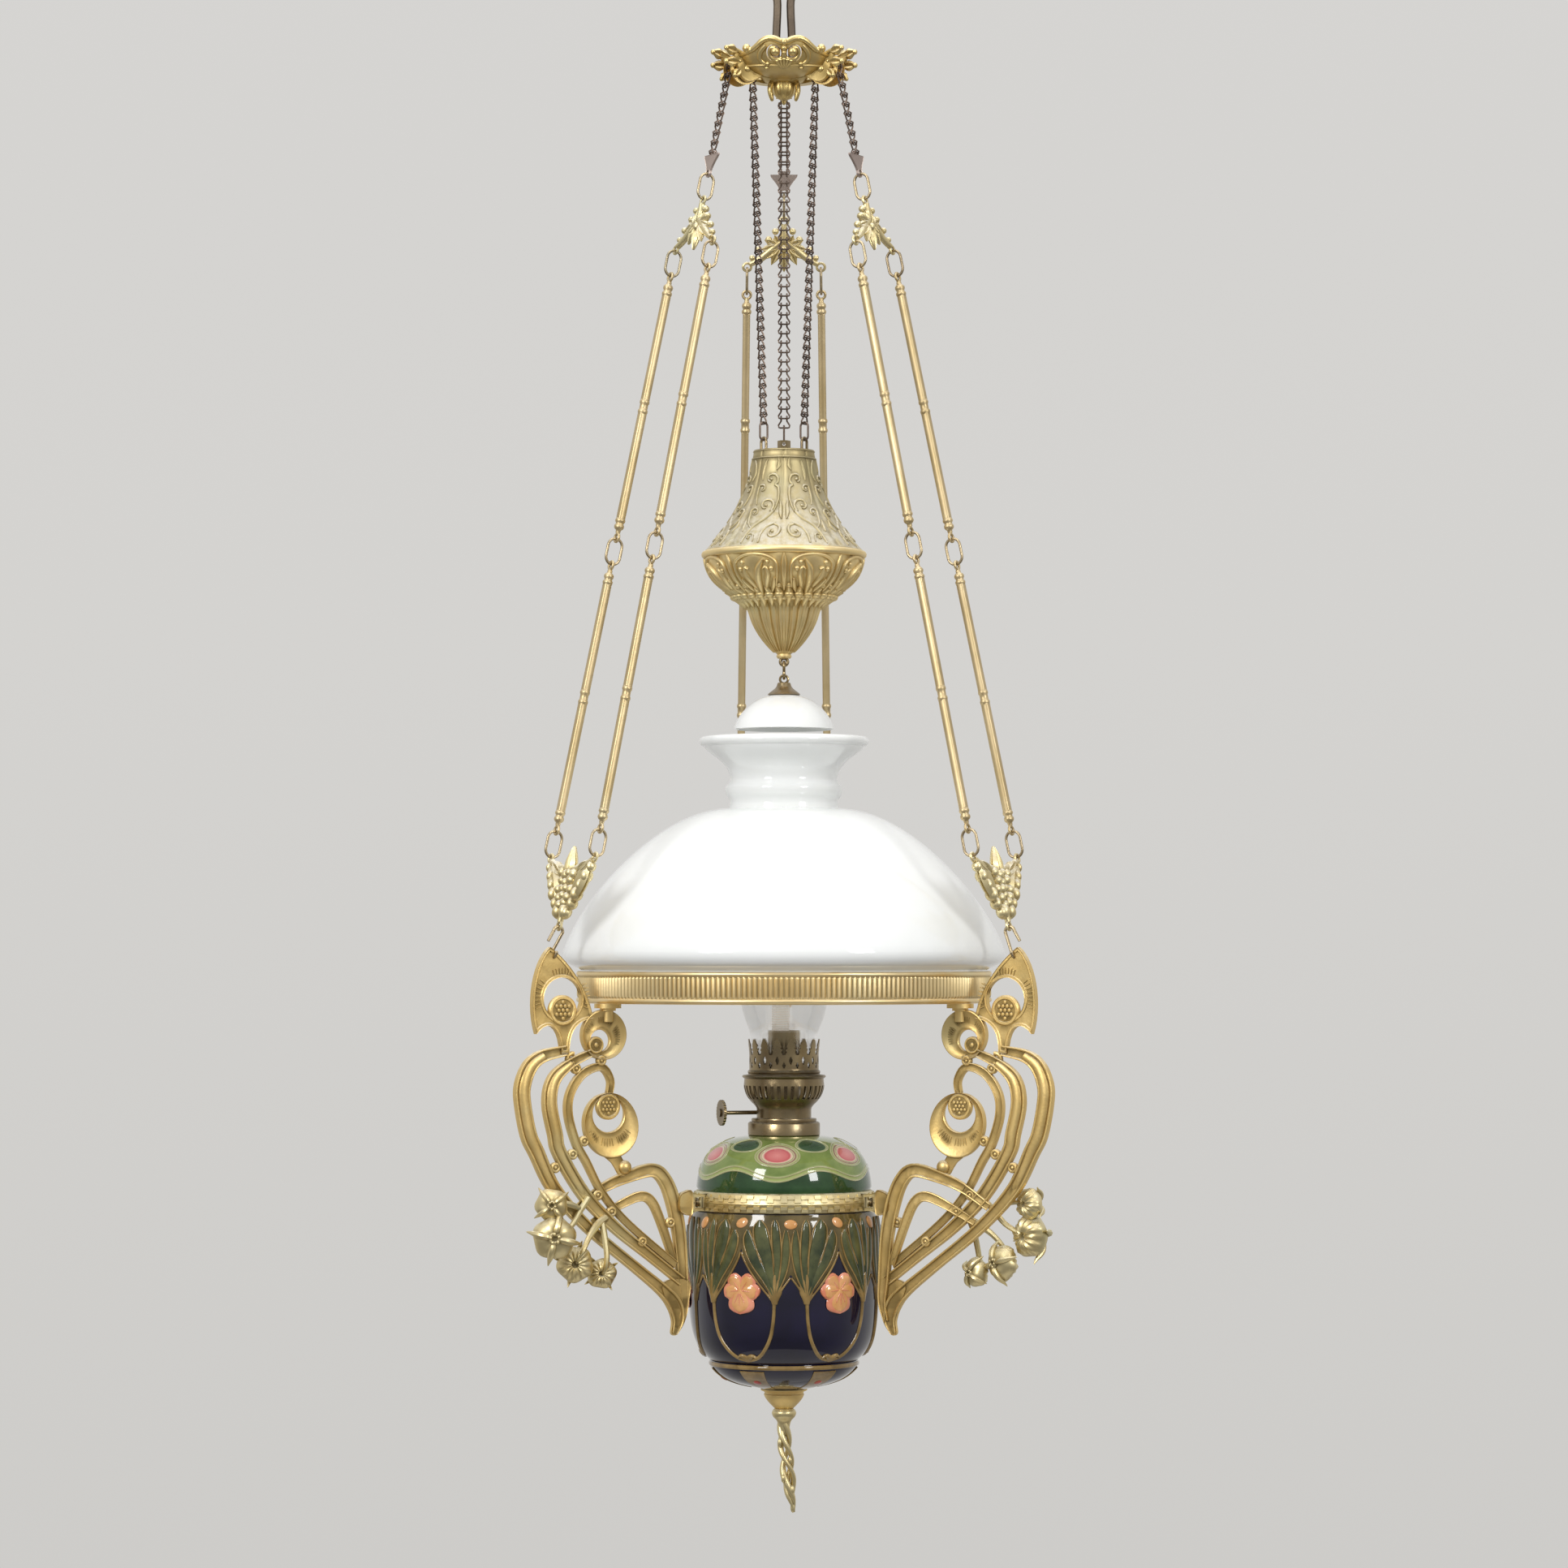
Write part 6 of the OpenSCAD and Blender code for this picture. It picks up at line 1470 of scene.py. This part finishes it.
def draw_pansy(bm, mid, grow, height, lift):
    """Five petals, each grown sideways by a share."""
    def petal(points, rise, up):
        run = [(mid + a, flower_z - drop, w * grow) for a, drop, w in points]
        vine(bm, vase_outline, run, DOME, rise * height, 4, lift=up + lift)

    far = (grow - 1) * 9
    for s in (-1, 1):
        petal([(s * 0.6, 62, 4), (s * 2.6, 58, 11), (s * 4.6, 54.4, 12.5), (s * 6, 51.6 - far, 9),
               (s * 6.6, 50.6 - far, 2)], 1.6, 0.2)
        petal([(s * 0.6, 63, 4), (s * 3.6, 62.4, 13), (s * 6.2, 63.6, 15.5), (s * (8.4 + far), 65.2, 13),
               (s * (9.6 + far), 66.4, 4)], 1.9, 0.6)
    petal([(0, 61, 3), (0, 64.5, 13), (0, 69.5, 20), (0, 74.4 + far, 20), (0, 77.6 + far, 13),
           (0, 79 + far, 3)],
          2.3, 1.1)


def button(bm, angle, z, stretch, u, v):
    """A flattened ball set into the vase."""
    spot, out = on_skin(vase_outline, radians(angle), z, 0.6)
    place = Matrix.Translation(spot) @ facing(out) @ Matrix.Diagonal((*stretch, 1))
    bmesh.ops.create_uvsphere(bm, u_segments=u, v_segments=v, radius=1, matrix=place)


@shaped(60)
def pansies_mesh(bm):
    """Raised five-petalled flowers, and the round buds above the leaves."""
    for mid in unit_mids:
        draw_pansy(bm, mid, 0.9, 1.0, 0.3)
        for off, drop in ((0, 6.5), (unit_turn / 2, 7.5)):
            button(bm, mid + off, vase_top - drop, (5.2, 3.9, 1.5), 16, 10)


@shaped(60)
def pansy_rims_mesh(bm):
    """The pink edges of the flowers' petals, and the veins from their hearts."""
    veins = [(0.6, 64, 3.0, 71, 3.4), (-0.6, 64, -3.0, 71, 3.4), (0, 64, 0, 73, 3.6),
             (1.4, 61.6, 6, 62.4, 2.6), (-1.4, 61.6, -6, 62.4, 2.6), (1.2, 60.4, 4, 55, 1.9),
             (-1.2, 60.4, -4, 55, 1.9)]
    for mid in unit_mids:
        draw_pansy(bm, mid, 1.08, 0.8, 0.1)
        for turn, drop, end_turn, end_drop, lift in veins:
            vein = [(mid + turn, flower_z - drop, 1.3), (mid + end_turn, flower_z - end_drop, 0.5)]
            vine(bm, vase_outline, vein, ROUND, 0.5, 3, lift=lift)


@shaped(60)
def panel_dots_mesh(bm):
    """A red dot in each panel at the vase's foot."""
    for mid in unit_mids:
        button(bm, mid, -1115, (3.2, 3.2, 0.9), 14, 8)


piece(font_mesh(), "painted_font", "lamp", font_finish, ("font",))
piece(font_lines_mesh(), "font_slip_lines", "lamp", pale_slip)
piece(vase_mesh(), "glazed_vase", "lamp", navy, ("vase",))
piece(mantle_mesh(), "vase_leaf_ground", "lamp", olive)
piece(vase_leaves_mesh(), "vase_leaves", "lamp", leaf_green)
piece(vase_lines_mesh(), "vase_gold_slip", "lamp", slip_gold)
piece(pansies_mesh(), "vase_flowers", "lamp", orange)
piece(pansy_rims_mesh(), "vase_flower_rims", "lamp", pink)
piece(panel_dots_mesh(), "vase_panel_dots", "lamp", red_glaze)


# Font ring

@shaped(40, recess_shade_reach=3)
def font_ring_mesh(bm):
    """A band with a stepped key of raised squares, and three windowed lugs."""
    half = 8
    lathe(bm, [(62.5, half), (69, half), (69.8, half - 0.5), (70.2, half - 1.2), (72.6, 0.6), (72.8, -0.2),
               (72.2, -1), (71.8, 1.4 - half), (71.2, 0.5 - half), (70.4, -half), (67.5, -half),
               (67.5, half - 3), (62.5, half - 3)],
          144, closed=True)
    squares = 84
    for k in range(squares):
        for high, low, shift in (((70.4, half - 1.2), (72.7, 0.8), 0),
                                 ((72.4, -1.4), (72.0, 1.4 - half), 1)):
            part = ((0.06, 0.56), (0.44, 0.94))[(k + shift) % 2]
            ends = [Vector(high).lerp(Vector(low), t) for t in part]
            middle = (ends[0] + ends[1]) / 2
            tall = (ends[1] - ends[0]).length
            slope = atan2(low[0] - high[0], high[1] - low[1])
            size = (1.7, 72 * radians(360 / squares) * 0.94, tall, 1)
            block = (turned_to(k * 360 / squares) @ Matrix.Translation((middle.x, 0, middle.y))
                     @ Matrix.Rotation(-slope, 4, "Y") @ Matrix.Diagonal(size))
            bmesh.ops.create_cube(bm, size=1, matrix=block)
    for angle in sides.values():
        lug = bmesh.new()
        outer = [(70.5, 7), (74, 6.4), (80, 6.8), (84, 8.2), (84, -8.2), (80, -6.8), (74, -6.4), (70.5, -7)]
        window = [(74, 4), (81.6, 4.4), (81.6, -4.4), (74, -4)]
        plate(lug, [outer, window], 2.4, soft=0.5)
        stamp(bm, as_mesh(lug), turned_to(angle))


piece(font_ring_mesh(), "keyed_font_ring", "lamp", pale_gilt, ("font_ring",),
      Matrix.Translation((0, 0, font_z)))


# Burner

def column_share(at, columns):
    """How far across its column a point lies, from 0 to 1, among equal columns round the axis."""
    step = 360 / columns
    return degrees(atan2(at.y, at.x)) % step / step


def pierce(bm, gone, wall):
    """Cuts faces out of a thin skin and gives what is left a wall."""
    bmesh.ops.delete(bm, geom=gone, context="FACES")
    bmesh.ops.recalc_face_normals(bm, faces=bm.faces)
    bmesh.ops.solidify(bm, geom=list(bm.faces), thickness=wall)


@shaped(40)
def burner_mesh(bm):
    """The burner's basket with its row of slots, its flange and its threaded foot."""
    basket = [(24, 0), (28.2, -0.1), (28.6, -0.8), (32.6, -1.4), (33.3, -2.4), (32.4, -3.4), (31.4, -4),
              (31.6, -6.5)]
    basket += curves((31.9, -9.4), ((31.6, -16), (28, -21), (23.4, -25), 8)) + [(22, -27), (21.6, -28.6)]
    foot = [(21.6, 3), (22.4, 2.5), (25.6, 2.4), (25.9, 1.2), (25.6, 0), (22.9, 0), (22.8, -8)]
    slots = 36
    lathe(bm, set_at(basket, deck_z) + set_at(foot, burner_z), slots * 4)
    gone = []
    for f in bm.faces:
        middle = f.calc_center_median()
        if deck_z - 19.5 < middle.z < deck_z - 10 and column_share(middle, slots) < 0.5:
            gone.append(f)
    pierce(bm, gone, 0.8)


@shaped(40)
def gallery_mesh(bm):
    """A crown of sixteen cut prongs that springs round the chimney's foot."""
    prongs, across, rows, skin_r = 16, 16, 18, 27.5
    lathe(bm, [(skin_r, k) for k in range(rows + 1)], prongs * across)
    gone = []
    for f in bm.faces:
        middle = f.calc_center_median()
        row = middle.z
        off = abs(2 * column_share(middle, prongs) - 1)
        edge = abs(off - 1)
        lozenges = ((off, 0.32, 7, 2.6), (edge, 0.36, 11.5, 2.2), (edge, 0.2, 4.5, 1.6))
        taper = 1 if row < 14.5 or row > 16.2 else 0.4
        if any(side / half_w + abs(row - mid) / half_h < 1 for side, half_w, mid, half_h in lozenges):
            gone.append(f)
        elif row > 12.5 and off > 0.62 - 0.35 * (row - 12.5) / 5.5 * taper:
            gone.append(f)
    for v in bm.verts:
        row = v.co.z
        reach = skin_r + (0.5 if row < 1.5 else 0) + 0.09 * max(0, row - 10) ** 1.25
        v.co.xy *= reach / skin_r
        v.co.z = deck_z + row * 1.5
    pierce(bm, gone, 0.6)
    foot = [(23.6, 0), (28.4, 0), (28.9, 1), (28.4, 2.2), (27.4, 3), (26.9, 1), (23.6, 1)]
    lathe(bm, set_at(foot, deck_z), 96, closed=True)


@shaped(40)
def collar_mesh(bm):
    """The turned collar between font and burner."""
    outline = set_at([(22.9, 0), (27.8, 0), (28.5, 0.7)], collar_z)
    outline += set_at([(28.5, -1.6), (28, -0.8), (27, -0.1), (22.9, 0)], burner_z)
    lathe(bm, outline, 96, closed=True)


@shaped(60)
def chimney_mesh(bm):
    """A blown tube with a bulge over its foot."""
    outline = [(20.1, 252)] + curves(
        (19.5, 246), ((19.5, 181), (19.5, 139), (20.5, 113.4), 10), ((23.5, 96), (34, 81), (34, 58), 16),
        ((34, 45), (26.9, 34), (26.4, 28), 12)) + [(26.4, 14), (26.4, 0.2)]
    lathe(bm, shell(set_at(outline, deck_z + 1), 1.5), 96, closed=True)


wick_low = -947
wick_high = -818.4
wick_middle = radians(109)
wick_half = radians(41)


@shaped(60)
def wick_mesh(bm):
    """A woven band, curved in its tube, a little frayed and charred along its top."""
    steps, rows = 42, 90
    heights = [wick_low + (wick_high - wick_low) * k / rows for k in range(rows + 1)]
    outline = [(11.2, z) for z in heights] + [(9.7, z) for z in reversed(heights)]
    verts = [bm.verts.new((r, 0, z)) for r, z in outline]
    edges = [bm.edges.new((verts[i - 1], verts[i])) for i in range(len(verts))]
    start = Matrix.Rotation(wick_middle - wick_half, 3, "Z")
    bmesh.ops.rotate(bm, verts=verts, cent=(0, 0, 0), matrix=start)
    made = bmesh.ops.spin(bm, geom=verts + edges, axis=(0, 0, 1), cent=(0, 0, 0), dvec=(0, 0, 0),
                          angle=2 * wick_half, steps=steps)
    bmesh.ops.contextual_create(bm, geom=edges)
    bmesh.ops.contextual_create(bm, geom=[g for g in made["geom_last"]
                                          if isinstance(g, bmesh.types.BMEdge)])
    for v in bm.verts:
        angle = atan2(v.co.y, v.co.x)
        v.co.xy *= 1 + 0.006 * cos(angle * 90) * cos(v.co.z * 2.2)
        if v.co.z > wick_high - 1.2:
            v.co.z += 0.35 * sin(angle * 57) - 0.35


def cotton():
    """Woven cotton, charred at the wick's top, with a faint painted glow that stands in for the daylight
    through the shade round it.
    """
    finish, shader, at = nodes_of("wick_cotton")
    weave = new_node(at, "ShaderNodeTexWave")
    weave.bands_direction = "Z"
    feed(weave, {"Vector": at, "Scale": 160, "Distortion": 2})
    threads = weave.outputs["Fac"]
    colour = ramp(threads, [(0.2, (0.74, 0.67, 0.56)), (0.8, (0.90, 0.85, 0.76))])
    uneven = grey(noise(at, 300, 3), -0.002, 0.002)
    char = grey(sums("ADD", split(at)["Z"], uneven), 0, 1, -0.8222, -0.8188)
    # The emission is a painted glow, for daylight that comes through the opal shade.
    feed(shader, {
        "Base Color": blend_colours(char, colour, (0.05, 0.035, 0.025)),
        "Roughness": grey(threads, 0.95, 0.8),
        "Emission Color": (1.0, 0.93, 0.84, 1.0), "Emission Strength": 0.28})
    bump(shader, threads, 0.5, 0.0006)
    return finish


piece(burner_mesh(), "slotted_burner", "lamp", old_brass, ("burner_body",))
piece(gallery_mesh(), "pronged_gallery", "lamp", old_brass, ("burner_gallery",))
piece(collar_mesh(), "turned_collar", "lamp", old_brass, ("font_collar",))
piece(chimney_mesh(), "blown_chimney", "lamp", clear, ("chimney",))
piece(wick_mesh(), "woven_wick", "wick", cotton(), ("wick",))


# Cup and pull at the bottom

@shaped(40)
def cup_mesh(bm):
    """The moulded cup under the vase."""
    outline = [(3.1, 0), (18, 0), (18.5, -0.8), (18.2, -1.9), (15.8, -2.8), (15.4, -4)]
    outline += curves((16, -5), ((15, -9), (10.5, -13), (8.4, -15.2), 8)) + [(7.4, -16), (3.1, -16)]
    lathe(bm, set_at(outline, cup_z), 72, closed=True)


@shaped(60, recess_shade_reach=3)
def pull_mesh(bm):
    """A knob that runs out into three loosely twisted stems with small leaves."""
    knob = [(0, 0), (6.6, 0), (8.8, -1.6), (9.7, -4), (8.6, -6.8), (6, -9.6), (4.8, -13), (4.2, -17),
            (3, -21), (0, -22)]
    lathe(bm, set_at(spline(knob, 3), pull_z), 36)
    twisted, steps = 3, 30
    for k in range(twisted):
        path, radii = [], []
        for i in range(steps + 1):
            t = i / steps
            a = 0.5 + k * tau / twisted + 8.4 * t
            swing = 1.2 + 2.9 * sin(pi * min(1, 0.12 + 0.9 * t))
            path.append((7.2 * t ** 1.5 + swing * cos(a), swing * sin(a), pull_z - 10 - (66 + 3 * k) * t))
            radii.append(2.5 - 0.5 * t + 0.5 * sin(9 * t + k) - 1.0 * max(0, t - 0.85) / 0.15)
        wire(bm, path, radii, 10)
    for x, y, z, r in ((-3.4, -4, -27, 2.4), (4.6, -3, -41, 2.2), (-0.6, -5, -55, 2.2),
                       (6.4, -3.4, -64, 2.4)):
        bead(bm, (x, y, pull_z + z), r, (0.8, 0.8, 1.5), 10, 8)
    bead(bm, (7.0, 0, pull_z - 78), 2.6, (0.8, 0.8, 1.7), 10, 8)


piece(cup_mesh(), "moulded_cup", "lamp", gilt, ("finial_cup",))
piece(pull_mesh(), "leaf_pull", "lamp", pale_gilt, ("pull_finial",))


# Nodes that keep their own shape

for name, finish in (
        ("pulley_axles", old_brass), ("pulley_back", gilt), ("pulley_left", gilt), ("pulley_right", gilt),
        ("weight_ballast", iron), ("weight_tie_rod", old_brass), ("weight_loops", old_brass),
        ("weight_chain_rings", chain_metal), ("bell_hook", old_brass), ("arm_hooks", ring_wire_finish),
        ("ring_nuts", gilt), ("arm_screws", old_brass), ("wick_tube", old_brass),
        ("finial_bolt", old_brass), ("wick_spindle", old_brass), ("wick_knob", old_brass)):
    paint(nodes[name].data, finish)


# Floor, light and camera

floor_r = 1.5
floor_z = -3.2


def floor():
    """A pale floor far below the lamp."""
    bm = bmesh.new()
    bmesh.ops.create_circle(bm, cap_ends=True, segments=96, radius=floor_r)
    bmesh.ops.translate(bm, vec=(0, 0, floor_z), verts=bm.verts)
    mesh = bpy.data.meshes.new("floor")
    bm.to_mesh(mesh)
    bm.free()
    finish, shader, at = nodes_of("pale_floor")
    colour = ramp(noise(at, 6, 3), [(0.3, (0.60, 0.59, 0.57)), (0.7, (0.64, 0.63, 0.61))])
    feed(shader, {"Base Color": colour, "Roughness": 0.85})
    mesh.materials.append(finish)
    obj = bpy.data.objects.new("floor", mesh)
    bpy.context.scene.collection.objects.link(obj)


def softbox(name, at, aim, width, height, power):
    """A large soft light, turned towards a place."""
    light = bpy.data.lights.new(name, "AREA")
    light.shape = "RECTANGLE"
    light.size = width
    light.size_y = height
    light.energy = power
    obj = bpy.data.objects.new(name, light)
    obj.location = at
    obj.rotation_euler = (Vector(aim) - Vector(at)).to_track_quat("-Z", "Y").to_euler()
    bpy.context.scene.collection.objects.link(obj)


def surroundings():
    """A pale wall behind the lamp and a darker room in front of it, both a little darker low down."""
    world = bpy.data.worlds.new("pale_room")
    bpy.context.scene.world = world
    world.use_nodes = True
    tree = world.node_tree
    coords = tree.nodes.new("ShaderNodeTexCoord")
    way = split(coords.outputs["Generated"])
    height = grey(way["Z"], 0, 1, -0.6, 0.6)
    wall = ramp(height, [(0.0, (0.36, 0.35, 0.34)), (0.38, (0.61, 0.60, 0.58)), (0.55, (0.66, 0.65, 0.63)),
                         (1.0, (0.70, 0.69, 0.68))])
    room = ramp(height, [(0.0, (0.22, 0.215, 0.21)), (0.5, (0.44, 0.435, 0.43)), (1.0, (0.62, 0.61, 0.60))])
    behind = grey(way["Y"], 0, 1, -0.25, 0.45)
    feed(tree.nodes["Background"], {"Color": blend_colours(behind, room, wall), "Strength": 1.0})


floor()
surroundings()
softbox("window_left", (-1.7, -2.4, 0.5), (0, 0, -0.75), 0.8, 1.1, 44)
softbox("window_right", (1.9, -2.2, 0.3), (0, 0, -0.75), 0.6, 0.9, 26)
softbox("ceiling", (0, -0.3, 1.3), (0, 0, -0.7), 1.8, 1.8, 24)
bpy.context.scene.view_settings.view_transform = "Standard"

# The photo's camera: its focal length and width in pixels, and where it stands in metres
focal_px = 5900
photo_px = 1932
camera_away = 3.8
camera_z = -0.775
camera_up = 1.95

camera = bpy.data.cameras.new("camera")
camera.sensor_width = 36
camera.lens = camera.sensor_width * focal_px / photo_px
camera.clip_end = 50
view = bpy.data.objects.new("camera", camera)
view.location = (0, -camera_away, camera_z)
view.rotation_euler = (radians(90 + camera_up), 0, 0)
bpy.context.scene.collection.objects.link(view)
bpy.context.scene.camera = view
